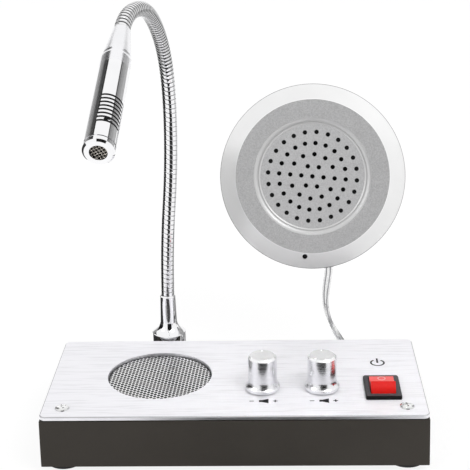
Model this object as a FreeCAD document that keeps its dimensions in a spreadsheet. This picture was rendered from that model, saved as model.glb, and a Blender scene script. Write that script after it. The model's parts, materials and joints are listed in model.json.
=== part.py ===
import FreeCAD, Part
import math
import os
import re
import Sketcher
from FreeCAD import Placement, Rotation, Vector

# Teller window intercom: a desk unit with a gooseneck microphone, two volume knobs and a rocker
# switch, and a round outer unit on its own lead.  Millimetres, +Z up, +Y away from the teller.
# The origin is on the counter, under the middle of the desk unit.

doc = FreeCAD.newDocument("window_intercom")

# ---------------------------------------------------------------- driving dimensions

SIZES = [
    # desk unit housing
    ("desk_width", 160.0), ("desk_depth", 75.0), ("desk_height", 26.0), ("corner_radius", 2.6),
    ("housing_corner_radius", 0.6), ("reveal_height", 0.5), ("reveal_depth", 0.5),
    ("plate_thickness", 1.6), ("plate_chamfer", 0.4), ("wall", 2.2), ("floor_thickness", 2.0),
    ("side_flare", 0.5),
    ("foot_height", 3.0), ("foot_radius", 7.9), ("foot_inset_x", 8.0), ("foot_inset_y", 10.75),
    ("foot_bevel", 0.4), ("foot_band", 0.5),
    ("screw_radius", 1.5), ("screw_head_radius", 3.05), ("screw_head_height", 1.1),
    ("screw_clearance", 0.25), ("pilot_radius", 1.3), ("boss_radius", 3.3),
    ("panel_screw_inset_x", 8.6), ("panel_screw_inset_y", 8.0), ("panel_screw_length", 9.0),
    ("foot_screw_length", 5.5), ("foot_well_depth", 1.6),
    ("tongue_width", 10.0), ("tongue_thickness", 1.0), ("tongue_drop", 2.2), ("tongue_inset", 17.0),
    ("tongue_reach", 4.5), ("slot_clearance", 0.2),
    # desk loudspeaker
    ("speaker_from_knob", 45.0), ("speaker_setback", 38.7), ("grille_opening_radius", 22.7),
    ("grille_margin", 1.9), ("grille_thickness", 0.8), ("grille_rise", 0.3), ("grille_clearance", 0.3),
    ("basket_flange", 1.0), ("basket_depth", 9.6), ("basket_throat_radius", 12.4),
    ("basket_wall", 0.9), ("cone_thickness", 0.5), ("cone_neck_radius", 6.0), ("cone_depth", 6.0),
    ("magnet_radius", 11.5), ("magnet_height", 6.0),
    ("clamp_width", 6.0), ("clamp_reach", 4.0), ("clamp_lip", 1.6),
    # volume controls
    ("knob_from_switch", 25.5), ("knob_pitch", 25.2), ("knob_setback", 25.2), ("knob_foot_radius", 7.4),
    ("knob_radius", 6.1), ("knob_height", 15.0), ("knob_gap", 0.5), ("knob_rim", 1.3),
    ("knob_flare", 3.4), ("knob_top_chamfer", 0.9), ("knob_well_radius", 5.5),
    ("knob_well_depth", 3.4), ("dimple_radius", 0.65), ("dimple_offset", 4.3),
    ("dimple_depth", 0.5),
    ("shaft_radius", 3.0), ("shaft_clearance", 0.05), ("shaft_top_gap", 2.2),
    ("bushing_radius", 3.4), ("bushing_height", 3.2), ("bushing_clearance", 0.2),
    ("pot_width", 16.0), ("pot_height", 8.0), ("pot_nut_across", 9.0), ("pot_nut_height", 1.9),
    # power switch
    ("switch_inset", 17.5), ("switch_setback", 24.1), ("bezel_width", 15.1), ("bezel_length", 20.6),
    ("bezel_height", 1.6), ("bezel_slope", 0.5), ("switch_body_width", 12.8),
    ("switch_body_length", 19.0), ("switch_body_depth", 12.0), ("cutout_clearance", 0.1),
    ("rocker_width", 10.3), ("rocker_clearance", 0.25), ("rocker_radius", 7.4),
    ("rocker_end_clearance", 0.2), ("rocker_pivot_drop", 0.9), ("rocker_throw", 30.0),
    ("rocker_crown", 3.7), ("rocker_keel", 4.2), ("rocker_pin_radius", 0.9),
    ("rocker_pin_length", 0.7), ("pin_clearance", 0.05), ("switch_well_depth", 6.5),
    ("terminal_width", 4.8), ("terminal_thickness", 0.8), ("terminal_length", 5.5),
    ("terminal_pitch", 6.5), ("latch_size", 0.9), ("latch_length", 8.0),
    # circuit board
    ("board_inset", 26.0), ("board_front_gap", 5.5), ("board_rear_gap", 17.5), ("board_width", 60.0),
    ("board_thickness", 1.6), ("chip_gap", 1.5), ("standoff_radius", 2.6), ("standoff_inset", 3.5),
    ("board_screw_length", 5.0), ("board_screw_head_height", 1.0), ("board_screw_head_radius", 2.2),
    # rear sockets
    ("dc_inset", 18.0), ("socket_height", 10.0), ("dc_bore_radius", 2.85), ("dc_bore_depth", 5.0),
    ("dc_width", 9.0), ("dc_tall", 10.0), ("dc_length", 14.0), ("dc_nose_radius", 4.0),
    ("dc_pin_radius", 1.0), ("nose_clearance", 0.1), ("jack_offset", 2.0), ("jack_bore_radius", 1.8),
    ("jack_nose_radius", 3.0), ("jack_nut_radius", 4.0), ("jack_nut_height", 1.6),
    ("jack_body_radius", 4.6), ("jack_body_length", 12.0),
    # gooseneck base
    ("neck_offset", 0.6), ("neck_back", 8.9), ("lug_top_drop", 4.2), ("lug_bottom", 8.0),
    ("lug_inset", 0.2), ("lug_web", 8.0), ("bracket_margin", 2.4), ("bracket_thickness", 2.6),
    ("bracket_screw_spread", 5.8), ("bracket_screw_length", 8.0),
    ("flange_radius", 7.9), ("flange_height", 5.5), ("flare_height", 5.0), ("sleeve_foot_radius", 4.0), ("sleeve_top_radius", 3.65),
    ("sleeve_height", 23.7), ("sleeve_rounding", 0.5), ("neck_radius", 3.1), ("socket_depth", 12.0),
    ("stud_radius", 3.0), ("stud_bore_radius", 1.5), ("stud_length", 12.0),
    ("neck_nut_across", 10.0), ("neck_nut_height", 3.0), ("neck_nut_well_radius", 6.7),
    ("wire_duct_radius", 1.6), ("joint_clearance", 0.1),
    # bends of the gooseneck, from its foot: up, to the right, and back or towards the teller
    ("bend_1_rise", 15.0), ("bend_2_rise", 41.5), ("bend_2_side", 1.0), ("bend_3_rise", 72.5),
    ("bend_3_side", 3.8), ("bend_3_back", 0.4), ("bend_4_rise", 102.5), ("bend_4_side", 4.5),
    ("bend_4_back", 0.4), ("bend_5_rise", 126.5), ("bend_5_side", 4.0), ("bend_5_reach", 8.8),
    ("bend_6_rise", 144.5), ("bend_6_side", 2.4), ("bend_6_reach", 30.8), ("bend_7_rise", 154.8),
    ("bend_7_reach", 53.8), ("mic_rise", 150.59), ("mic_side", 4.84), ("mic_reach", 85.62),
    # microphone, measured from the end of the gooseneck along its own axis
    ("mic_radius", 5.5), ("mic_neck_radius", 3.35), ("mic_cone_length", 17.5),
    ("mic_seam", 24.0), ("mic_wall", 0.8), ("mic_length", 68.2), ("mic_front_length", 3.0),
    ("mic_front_chamfer", 0.7), ("mic_step", 0.35), ("mic_step_width", 0.6),
    ("mic_window_radius", 3.1), ("mic_slot_first", 43.6), ("mic_slot_pitch", 1.97),
    ("mic_slot_width", 0.95), ("mic_slot_span", 115.0), ("mic_slot_turn", 45.0),
    ("mic_mesh_thickness", 0.4), ("mic_foam_thickness", 1.2),
    ("mic_socket_depth", 4.0), ("mic_lead_in", 11.0), ("capsule_length", 8.0),
    # outer unit, in its own frame with +Z out of its face
    ("outer_radius", 43.5), ("outer_x", 35.6), ("outer_y", 72.45), ("outer_z", 94.28),
    ("outer_lean", 16.9), ("outer_turn", -1.8), ("outer_roll", -5.3), ("outer_rise", 7.0),
    ("outer_lip", 1.0), ("outer_ring_radius", 35.85), ("outer_inner_radius", 27.4),
    ("outer_disc_radius", 24.4), ("outer_recess", 1.9), ("outer_wall", 1.8),
    ("outer_back_depth", 19.5), ("outer_back_taper", 1.5), ("pad_radius", 29.0),
    ("pad_thickness", 1.2), ("disc_thickness", 1.0), ("disc_margin", 1.4), ("hole_radius", 1.05),
    ("ring_pitch", 5.2), ("mic_hole_radius", 1.2), ("mic_hole_inset", 5.8),
    ("mic_collar_wall", 1.0), ("mic_collar_cover", 0.3),
    ("outer_speaker_radius", 25.0), ("outer_basket_depth", 8.0), ("outer_throat_radius", 11.0),
    ("outer_magnet_radius", 10.5), ("outer_magnet_height", 4.2), ("outer_boss_radius", 3.0),
    ("outer_boss_offset", 32.0), ("outer_screw_radius", 1.2), ("outer_screw_head_radius", 2.2),
    ("outer_capsule_radius", 2.4), ("outer_capsule_height", 1.8), ("grommet_radius", 3.1),
    ("grommet_angle", 10.5), ("grommet_depth", 5.5), ("grommet_stand", 0.8),
    # the outer unit's lead
    ("cord_radius", 1.75), ("hank_x", 42.25), ("hank_y", 57.6), ("hank_straight", 34.0),
    ("hank_fold_radius", 10.5), ("hank_columns", 3.0), ("hank_layers", 2.0),
    ("plug_radius", 3.6), ("plug_length", 14.0), ("plug_relief_length", 4.0),
    ("plug_pin_radius", 1.75), ("plug_pin_length", 11.0), ("tie_thickness", 0.6), ("tie_width", 4.0),
]

sheet = doc.addObject("Spreadsheet::Sheet", "sizes")
for row, (alias, value) in enumerate(SIZES, start=1):
    sheet.set("A%d" % row, alias)
    sheet.set("B%d" % row, str(value))
    sheet.setAlias("B%d" % row, alias)
doc.recompute()

ALIASES = {alias for alias, value in SIZES}
SHORTHAND = {
    "NECK_X": "(SPEAKER_X + neck_offset)",
    "JACK_X": "(BOARD_X - board_width / 2 + jack_offset)",
    "SPEAKER_X": "(KNOB_LEFT_X - speaker_from_knob)",
    "SPEAKER_Y": "(speaker_setback - desk_depth / 2)",
    "KNOB_LEFT_X": "(KNOB_RIGHT_X - knob_pitch)",
    "KNOB_RIGHT_X": "(SWITCH_X - knob_from_switch)",
    "KNOB_Y": "(knob_setback - desk_depth / 2)",
    "SWITCH_X": "(desk_width / 2 - switch_inset)",
    "SWITCH_Y": "(switch_setback - desk_depth / 2)",
    "PANEL_SCREW_X": "(desk_width / 2 - panel_screw_inset_x)",
    "PANEL_SCREW_Y": "(panel_screw_inset_y - desk_depth / 2)",
    "BOARD_X": "(desk_width / 2 - board_inset - board_width / 2)",
    "BOARD_Y": "((board_front_gap - board_rear_gap) / 2)",
    "BOARD_DEPTH": "(desk_depth - board_front_gap - board_rear_gap)",
    "BOARD_REAR": "(desk_depth / 2 - board_rear_gap)",
    "BOARD_FRONT": "(board_front_gap - desk_depth / 2)",
    "DC_X": "(dc_inset - desk_width / 2)",
    "MIC_HOLE_Y": "(mic_hole_inset - outer_radius)",
    "PLATE_TOP": "(desk_height)",
    "PLATE_UNDER": "(desk_height - plate_thickness)",
    "FLOOR_TOP": "(foot_height + floor_thickness)",
    "REAR": "(desk_depth / 2)",
    "GRILLE_TOP": "(desk_height - plate_thickness)",
    "BASKET_TOP": "(desk_height - plate_thickness - grille_thickness)",
    "BASKET_RADIUS": "(grille_opening_radius + grille_margin)",
    "POT_TOP": "(desk_height - plate_thickness)",
    "POT_UNDER": "(desk_height - plate_thickness - pot_height)",
    "BOARD_TOP": "(desk_height - plate_thickness - pot_height)",
    "BOARD_UNDER": "(desk_height - plate_thickness - pot_height - board_thickness)",
    "NECK_Y": "(desk_depth / 2 + neck_back)",
    "LUG_TOP": "(desk_height - lug_top_drop)",
    "LUG_RADIUS": "(flange_radius - lug_inset)",
    "BRACKET_SCREW_Z": "(desk_height - lug_top_drop - lug_web / 2)",
    "PIVOT_Z": "(desk_height - rocker_pivot_drop)",
    "FACE": "(outer_rise)",
    "DISC_TOP": "(outer_rise - outer_recess)",
    "DISC_UNDER": "(outer_rise - outer_recess - disc_thickness)",
    "BACK": "(0 - outer_back_depth)",
    "PLUG_START": "(desk_depth / 2 + jack_nut_height)",
}


def spelled_out(formula):
    """A formula in plain aliases, with the shorthand above written out."""
    text = str(formula)
    for name, meaning in SHORTHAND.items():
        text = re.sub(r"\b%s\b" % name, meaning, text)
    return text


def bound(formula):
    """The formula as a FreeCAD expression that reads the sheet."""
    return re.sub(
        r"[a-z][a-z0-9_]*[a-z]",
        lambda word: "sizes." + word.group(0) if word.group(0) in ALIASES else word.group(0),
        spelled_out(formula),
    )


probe = doc.addObject("App::FeaturePython", "probe")
probe.addProperty("App::PropertyFloat", "reading")


def number(formula):
    """The value that a formula has now."""
    if isinstance(formula, (int, float)):
        return float(formula)
    value = probe.evalExpression(bound(formula))
    return float(getattr(value, "Value", value))


def bind(item, prop, formula):
    item.setExpression(prop, bound(formula))


# ---------------------------------------------------------------- building blocks

parts = []


def named(item, node):
    """Name a finished sub-part; its label names its file."""
    item.Label = node
    parts.append(item)
    return item


def place(item, x=0, y=0, z=0, rotation=None):
    if rotation is not None:
        item.Placement = Placement(Vector(0, 0, 0), rotation)
    for axis, formula in zip("xyz", (x, y, z)):
        bind(item, "Placement.Base." + axis, formula)
    return item


TOWARDS = {
    "z": Rotation(),
    "y": Rotation(Vector(1, 0, 0), -90),
    "x": Rotation(Vector(0, 1, 0), 90),
    "-y": Rotation(Vector(1, 0, 0), 90),
    "-z": Rotation(Vector(1, 0, 0), 180),
}


def cylinder(name, radius, height, x=0, y=0, z=0, along="z"):
    item = doc.addObject("Part::Cylinder", name)
    bind(item, "Radius", radius)
    bind(item, "Height", height)
    return place(item, x, y, z, TOWARDS[along])


def cone(name, radius_one, radius_two, height, x=0, y=0, z=0, along="z"):
    item = doc.addObject("Part::Cone", name)
    bind(item, "Radius1", radius_one)
    bind(item, "Radius2", radius_two)
    bind(item, "Height", height)
    return place(item, x, y, z, TOWARDS[along])


def box(name, length, width, height, x=0, y=0, z=0):
    """A box centred on x and y, standing on z."""
    item = doc.addObject("Part::Box", name)
    bind(item, "Length", length)
    bind(item, "Width", width)
    bind(item, "Height", height)
    return place(item, "(%s) - (%s) / 2" % (x, length), "(%s) - (%s) / 2" % (y, width), z)


def hexagon(name, across, height, x=0, y=0, z=0, along="z"):
    item = doc.addObject("Part::Prism", name)
    item.Polygon = 6
    bind(item, "Circumradius", "(%s) / sqrt(3)" % across)
    bind(item, "Height", height)
    return place(item, x, y, z, TOWARDS[along])


def joined(name, *pieces):
    item = doc.addObject("Part::MultiFuse", name)
    item.Shapes = list(pieces)
    return item


def grouped(name, *pieces):
    """Separate solids that share one node."""
    item = doc.addObject("Part::Compound", name)
    item.Links = list(pieces)
    return item


def less(name, base, *tools):
    item = doc.addObject("Part::Cut", name)
    item.Base = base
    item.Tool = tools[0] if len(tools) == 1 else joined(name + "_tools", *tools)
    return item


def shared(name, one, two):
    item = doc.addObject("Part::Common", name)
    item.Base = one
    item.Tool = two
    return item


def new_body(name):
    return doc.addObject("PartDesign::Body", name)


def origin_plane(body, role):
    return [plane for plane in body.Origin.OriginFeatures if plane.Role == role][0]


def new_sketch(body, name, role, offset=0):
    sketch = body.newObject("Sketcher::SketchObject", name)
    sketch.AttachmentSupport = [(origin_plane(body, role), "")]
    sketch.MapMode = "FlatFace"
    if offset != 0:
        bind(sketch, "AttachmentOffset.Base.z", offset)
    return sketch


def pin_point(sketch, geometry, end, x, y):
    """Hold one end of a line at (x, y), each bound to its formula."""
    # In a sketch's constraints, -1 is the X axis, -2 the Y axis, and (-1, 1) the origin.
    for kind, formula, axis in (("DistanceX", x, -2), ("DistanceY", y, -1)):
        value = number(formula)
        if abs(value) < 1e-9:
            sketch.addConstraint(Sketcher.Constraint("PointOnObject", geometry, end, axis))
            continue
        if value > 0:
            rule = Sketcher.Constraint(kind, -1, 1, geometry, end, value)
            text = "%s" % formula
        else:
            rule = Sketcher.Constraint(kind, geometry, end, -1, 1, -value)
            text = "0 - (%s)" % formula
        index = sketch.addConstraint(rule)
        bind(sketch, "Constraints[%d]" % index, text)


def outline(sketch, corners):
    """A closed outline through (x, y) corners; a corner (x, y, radius) is reached by an arc that
    bulges to the left of its chord, or to the right where the radius is given as negative."""
    spots = [Vector(number(corner[0]), number(corner[1]), 0) for corner in corners]
    ends = []
    for index, corner in enumerate(corners):
        start, stop = spots[index - 1], spots[index]
        if len(corner) == 2:
            piece = sketch.addGeometry(Part.LineSegment(start, stop), False)
            ends.append((piece, 1, 2))
            continue
        radius = number(corner[2])
        chord = stop - start
        side = Vector(-chord.y, chord.x, 0).normalize() * math.copysign(1, radius)
        rise = math.sqrt(radius ** 2 - (chord.Length / 2) ** 2)
        centre = (start + stop) / 2 - side * rise
        first, last = (stop, start) if radius > 0 else (start, stop)
        circle = Part.Circle(centre, Vector(0, 0, 1), abs(radius))
        arc = Part.ArcOfCircle(circle, circle.parameter(first), circle.parameter(last))
        piece = sketch.addGeometry(arc, False)
        ends.append((piece, 2, 1) if radius > 0 else (piece, 1, 2))
        rule = sketch.addConstraint(Sketcher.Constraint("Radius", piece, abs(radius)))
        bind(sketch, "Constraints[%d]" % rule, "abs(%s)" % corner[2])
    for index, corner in enumerate(corners):
        piece, first, last = ends[index]
        following = ends[(index + 1) % len(ends)]
        sketch.addConstraint(Sketcher.Constraint("Coincident", piece, last, following[0], following[1]))
        pin_point(sketch, piece, last, corner[0], corner[1])


def turned(name, corners):
    """A turned piece: a half section in (radius, height), revolved about its own Z axis."""
    body = new_body(name)
    sketch = new_sketch(body, name + "_section", "XZ_Plane")
    outline(sketch, corners)
    lathe = body.newObject("PartDesign::Revolution", name + "_turned")
    lathe.Profile = sketch
    lathe.ReferenceAxis = (sketch, ["V_Axis"])
    lathe.Angle = 360
    body.Tip = lathe
    return body


def prism(name, corners, height, base=0, role="XY_Plane"):
    body = new_body(name)
    sketch = new_sketch(body, name + "_outline", role, base)
    outline(sketch, corners)
    pad = body.newObject("PartDesign::Pad", name + "_pad")
    pad.Profile = sketch
    bind(pad, "Length", height)
    body.Tip = pad
    return body


def round_rectangle(width, depth, radius):
    """Corners of a rectangle with rounded corners, centred on the origin."""
    w, d = "(%s) / 2" % width, "(%s) / 2" % depth
    r = "(%s)" % radius
    sides = [("-", "+"), ("-", "-"), ("+", "-"), ("+", "+")]
    corners = []
    for index, (sx, sy) in enumerate(sides):
        outer_x, outer_y = "0 %s (%s)" % (sx, w), "0 %s (%s)" % (sy, d)
        inner_x, inner_y = "0 %s (%s - %s)" % (sx, w, r), "0 %s (%s - %s)" % (sy, d, r)
        along_y, along_x = (outer_x, inner_y), (inner_x, outer_y)
        first, second = (along_x, along_y) if index % 2 == 0 else (along_y, along_x)
        corners.append(first)
        corners.append(second + ("0 - " + r,))
    return corners


def pocket(body, sketch, depth, reverse=False):
    cut = body.newObject("PartDesign::Pocket", sketch.Name + "_cut")
    cut.Profile = sketch
    bind(cut, "Length", depth)
    cut.Reversed = reverse
    body.Tip = cut
    return cut


def circle_in(sketch, x, y, radius):
    spot = Vector(number(x), number(y), 0)
    piece = sketch.addGeometry(Part.Circle(spot, Vector(0, 0, 1), number(radius)), False)
    pin_point(sketch, piece, 3, x, y)
    rule = sketch.addConstraint(Sketcher.Constraint("Radius", piece, number(radius)))
    bind(sketch, "Constraints[%d]" % rule, radius)


# ---------------------------------------------------------------- routes of runs and arcs

ARC_SHARE = 0.45


def rounding(before, corner, after):
    """Where the arc at a corner starts, passes and ends, and its radius."""
    back, ahead = before - corner, after - corner
    run = min(back.Length, ahead.Length)
    back.normalize()
    ahead.normalize()
    half_turn = (math.pi - back.getAngle(ahead)) / 2
    reach = ARC_SHARE * run
    radius = reach / math.tan(half_turn)
    inward = (back + ahead).normalize()
    middle = corner + inward * (radius / math.cos(half_turn) - radius)
    return corner + back * reach, middle, corner + ahead * reach, radius


def route_edges(points):
    """Straight runs joined by tangent arcs, and the radius of each arc."""
    edges, radii = [], []
    here = points[0]
    for before, corner, after in zip(points, points[1:], points[2:]):
        start, middle, stop, radius = rounding(before, corner, after)
        edges.append(Part.LineSegment(here, start).toShape())
        edges.append(Part.Arc(start, middle, stop).toShape())
        radii.append(radius)
        here = stop
    edges.append(Part.LineSegment(here, points[-1]).toShape())
    return edges, radii


def tube_along(edges, radius):
    path = Part.Wire(edges)
    start = edges[0].valueAt(edges[0].FirstParameter)
    direction = edges[0].tangentAt(edges[0].FirstParameter)
    ring = Part.Wire([Part.makeCircle(radius, start, direction)])
    tube = path.makePipeShell([ring], True, True)
    return Part.makeSolid(tube) if tube.ShapeType != "Solid" else tube


# ================================================================ desk unit

def desk_outline(inset, corner="housing_corner_radius"):
    shrink = "desk_width - 2 * (%s)" % inset
    return round_rectangle(shrink, "desk_depth - 2 * (%s)" % inset, corner)


def screw(name, x, y, z, radius, length, head_radius, head_height, along="-z"):
    """A pan-head screw whose head sits on z and whose shank runs along the given direction."""
    flip = {"-z": "z", "z": "-z"}[along]
    shank = cylinder(name + "_shank", radius, length, x, y, z, along)
    head = cone(name + "_head", head_radius, "(%s) * 0.72" % head_radius, head_height, x, y, z, flip)
    return joined(name, shank, head)


def base_housing():
    body = new_body("housing_shell")
    floor = new_sketch(body, "housing_outline", "XY_Plane", "foot_height")
    outline(floor, round_rectangle("desk_width + 2 * side_flare", "desk_depth", "housing_corner_radius"))
    pad = body.newObject("PartDesign::Pad", "housing_pad")
    pad.Profile = floor
    bind(pad, "Length", "PLATE_UNDER - foot_height")
    well = new_sketch(body, "housing_well", "XY_Plane", "PLATE_UNDER")
    outline(well, desk_outline("wall"))
    pocket(body, well, "PLATE_UNDER - FLOOR_TOP")

    bosses, bores = [], []
    for side in ("-", "+"):
        x = "0 %s PANEL_SCREW_X" % side
        bosses.append(cylinder("panel_boss", "boss_radius", "PLATE_UNDER - FLOOR_TOP",
                               x, "PANEL_SCREW_Y", "FLOOR_TOP"))
        bores.append(cylinder("panel_pilot", "pilot_radius", "panel_screw_length",
                              x, "PANEL_SCREW_Y", "PLATE_UNDER - panel_screw_length"))
        for end in ("-", "+"):
            foot_x = "0 %s (desk_width / 2 - foot_inset_x)" % side
            foot_y = "0 %s (desk_depth / 2 - foot_inset_y)" % end
            bosses.append(cylinder("foot_boss", "boss_radius", "floor_thickness + 5",
                                   foot_x, foot_y, "foot_height"))
            bores.append(cylinder("foot_pilot", "pilot_radius", "foot_screw_length",
                                  foot_x, foot_y, "foot_height"))
    for x, y in board_corners():
        bosses.append(cylinder("standoff", "standoff_radius", "BOARD_UNDER - FLOOR_TOP",
                               x, y, "FLOOR_TOP"))
        bores.append(cylinder("standoff_pilot", "pilot_radius - 0.3", "board_screw_length - board_thickness",
                              x, y, "BOARD_UNDER - board_screw_length + board_thickness"))

    bores.append(cylinder("wire_hole", "wire_duct_radius", "wall + 2",
                          "NECK_X", "REAR - wall - 1", "BRACKET_SCREW_Z", "y"))
    for side in ("-", "+"):
        bores.append(cylinder("bracket_hole", "pilot_radius + 0.2", "wall + 2",
                              "NECK_X %s bracket_screw_spread" % side, "REAR - wall - 1", "BRACKET_SCREW_Z", "y"))
    bores.append(cylinder("dc_hole", "dc_nose_radius + nose_clearance", "wall + 2",
                          "DC_X", "REAR - wall - 1", "socket_height", "y"))
    bores.append(cylinder("jack_hole", "jack_nose_radius + nose_clearance", "wall + 2",
                          "JACK_X", "REAR - wall - 1", "socket_height", "y"))
    for side in ("-", "+"):
        bores.append(box("tongue_slot", "tongue_width + 2 * slot_clearance", "2 * wall",
                         "tongue_thickness + 2 * slot_clearance",
                         "0 %s (desk_width / 2 - tongue_inset)" % side, "REAR - wall / 2",
                         "PLATE_UNDER - tongue_drop - tongue_thickness - slot_clearance"))
    whole = joined("housing_with_bosses", body, *bosses)
    # The end walls lean out a little towards the counter.
    half = "desk_width / 2"
    for side in ("-", "+"):
        bores.append(prism("end_slope", [
            ("0 %s (%s)" % (side, half), "PLATE_UNDER"),
            ("0 %s (%s + side_flare + 1)" % (side, half), "PLATE_UNDER"),
            ("0 %s (%s + side_flare + 1)" % (side, half), "foot_height"),
            ("0 %s (%s + side_flare)" % (side, half), "foot_height"),
        ], "desk_depth + 2", "0 - desk_depth / 2 - 1", "XZ_Plane"))
    # A shallow groove under the plate shows as a dark line between plate and housing.
    around = prism("reveal_outside", desk_outline("0 - 1"), "reveal_height", "PLATE_UNDER - reveal_height")
    within = prism("reveal_inside", desk_outline("reveal_depth"), "reveal_height",
                   "PLATE_UNDER - reveal_height")
    bores.append(less("reveal_groove", around, within))
    named(less("housing_drilled", whole, *bores), "base_housing")


def board_corners():
    """The two corners of the board that rest on standoffs; the volume controls carry the rest."""
    x = "BOARD_X - board_width / 2 + standoff_inset"
    return [
        (x, "BOARD_Y - BOARD_DEPTH / 2 + standoff_inset"),
        (x, "BOARD_Y + BOARD_DEPTH / 2 - standoff_inset"),
        ("BOARD_X + board_width / 2 - standoff_inset", "BOARD_Y + BOARD_DEPTH / 2 - standoff_inset"),
    ]


def top_panel():
    body = new_body("panel_plate")
    face = new_sketch(body, "panel_outline", "XY_Plane", "PLATE_UNDER")
    outline(face, desk_outline("0", "corner_radius"))
    pad = body.newObject("PartDesign::Pad", "panel_pad")
    pad.Profile = face
    bind(pad, "Length", "plate_thickness")
    doc.recompute()
    rim = [
        "Edge%d" % (index + 1)
        for index, edge in enumerate(pad.Shape.Edges)
        if abs(edge.BoundBox.ZMin - number("PLATE_TOP")) < 1e-6
    ]
    chamfer = body.newObject("PartDesign::Chamfer", "panel_chamfer")
    chamfer.Base = (pad, rim)
    bind(chamfer, "Size", "plate_chamfer")
    body.Tip = chamfer
    holes = new_sketch(body, "panel_holes", "XY_Plane", "PLATE_TOP")
    circle_in(holes, "SPEAKER_X", "SPEAKER_Y", "grille_opening_radius")
    for x in ("KNOB_LEFT_X", "KNOB_RIGHT_X"):
        circle_in(holes, x, "KNOB_Y", "bushing_radius + bushing_clearance")
    for x in ("0 - PANEL_SCREW_X", "PANEL_SCREW_X"):
        circle_in(holes, x, "PANEL_SCREW_Y", "screw_radius + screw_clearance")
    half_width = "(switch_body_width / 2 + cutout_clearance)"
    half_length = "(switch_body_length / 2 + cutout_clearance)"
    outline(holes, [
        ("SWITCH_X - " + half_width, "SWITCH_Y - " + half_length),
        ("SWITCH_X + " + half_width, "SWITCH_Y - " + half_length),
        ("SWITCH_X + " + half_width, "SWITCH_Y + " + half_length),
        ("SWITCH_X - " + half_width, "SWITCH_Y + " + half_length),
    ])
    pocket(body, holes, "plate_thickness * 2")
    named(body, "top_panel")


def panel_fixings():
    screws = [
        screw("panel_screw", x, "PANEL_SCREW_Y", "PLATE_TOP", "pilot_radius",
              "plate_thickness + panel_screw_length - 1", "screw_head_radius", "screw_head_height")
        for x in ("0 - PANEL_SCREW_X", "PANEL_SCREW_X")
    ]
    named(grouped("panel_screw_pair", *screws), "panel_screws")
    tongues = []
    for side in ("-", "+"):
        x = "0 %s (desk_width / 2 - tongue_inset)" % side
        root = box("tongue_root", "tongue_width", "tongue_thickness", "tongue_drop",
                   x, "REAR - wall - tongue_reach + tongue_thickness / 2", "PLATE_UNDER - tongue_drop")
        blade = box("tongue_blade", "tongue_width", "tongue_reach + wall * 0.8", "tongue_thickness",
                    x, "REAR - wall - tongue_reach + (tongue_reach + wall * 0.8) / 2",
                    "PLATE_UNDER - tongue_drop - tongue_thickness")
        pad = box("tongue_pad", "tongue_width", "tongue_reach - 1", "tongue_thickness",
                  x, "REAR - wall - tongue_reach - (tongue_reach - 1) / 2 + tongue_thickness",
                  "PLATE_UNDER - tongue_thickness")
        tongues.append(joined("tongue", root, blade, pad))
    named(grouped("tongue_pair", *tongues), "rear_tongues")


def feet():
    pads, screws = [], []
    for side in ("-", "+"):
        for end in ("-", "+"):
            x = "0 %s (desk_width / 2 - foot_inset_x)" % side
            y = "0 %s (desk_depth / 2 - foot_inset_y)" % end
            pad = turned("foot", [
                ("screw_radius", "foot_well_depth"), ("screw_head_radius + 0.2", "foot_well_depth"),
                ("screw_head_radius + 0.2", "0"), ("foot_radius - foot_bevel", "0"),
                ("foot_radius", "foot_band"), ("foot_radius", "foot_height"), ("screw_radius", "foot_height"),
            ])
            pads.append(place(pad, x, y, 0))
            screws.append(screw("foot_screw", x, y, "foot_well_depth", "pilot_radius",
                                "foot_height - foot_well_depth + foot_screw_length - 0.5",
                                "screw_head_radius", "screw_head_height", "z"))
    named(grouped("foot_set", *pads), "rubber_feet")
    named(grouped("foot_screw_set", *screws), "foot_screws")


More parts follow.
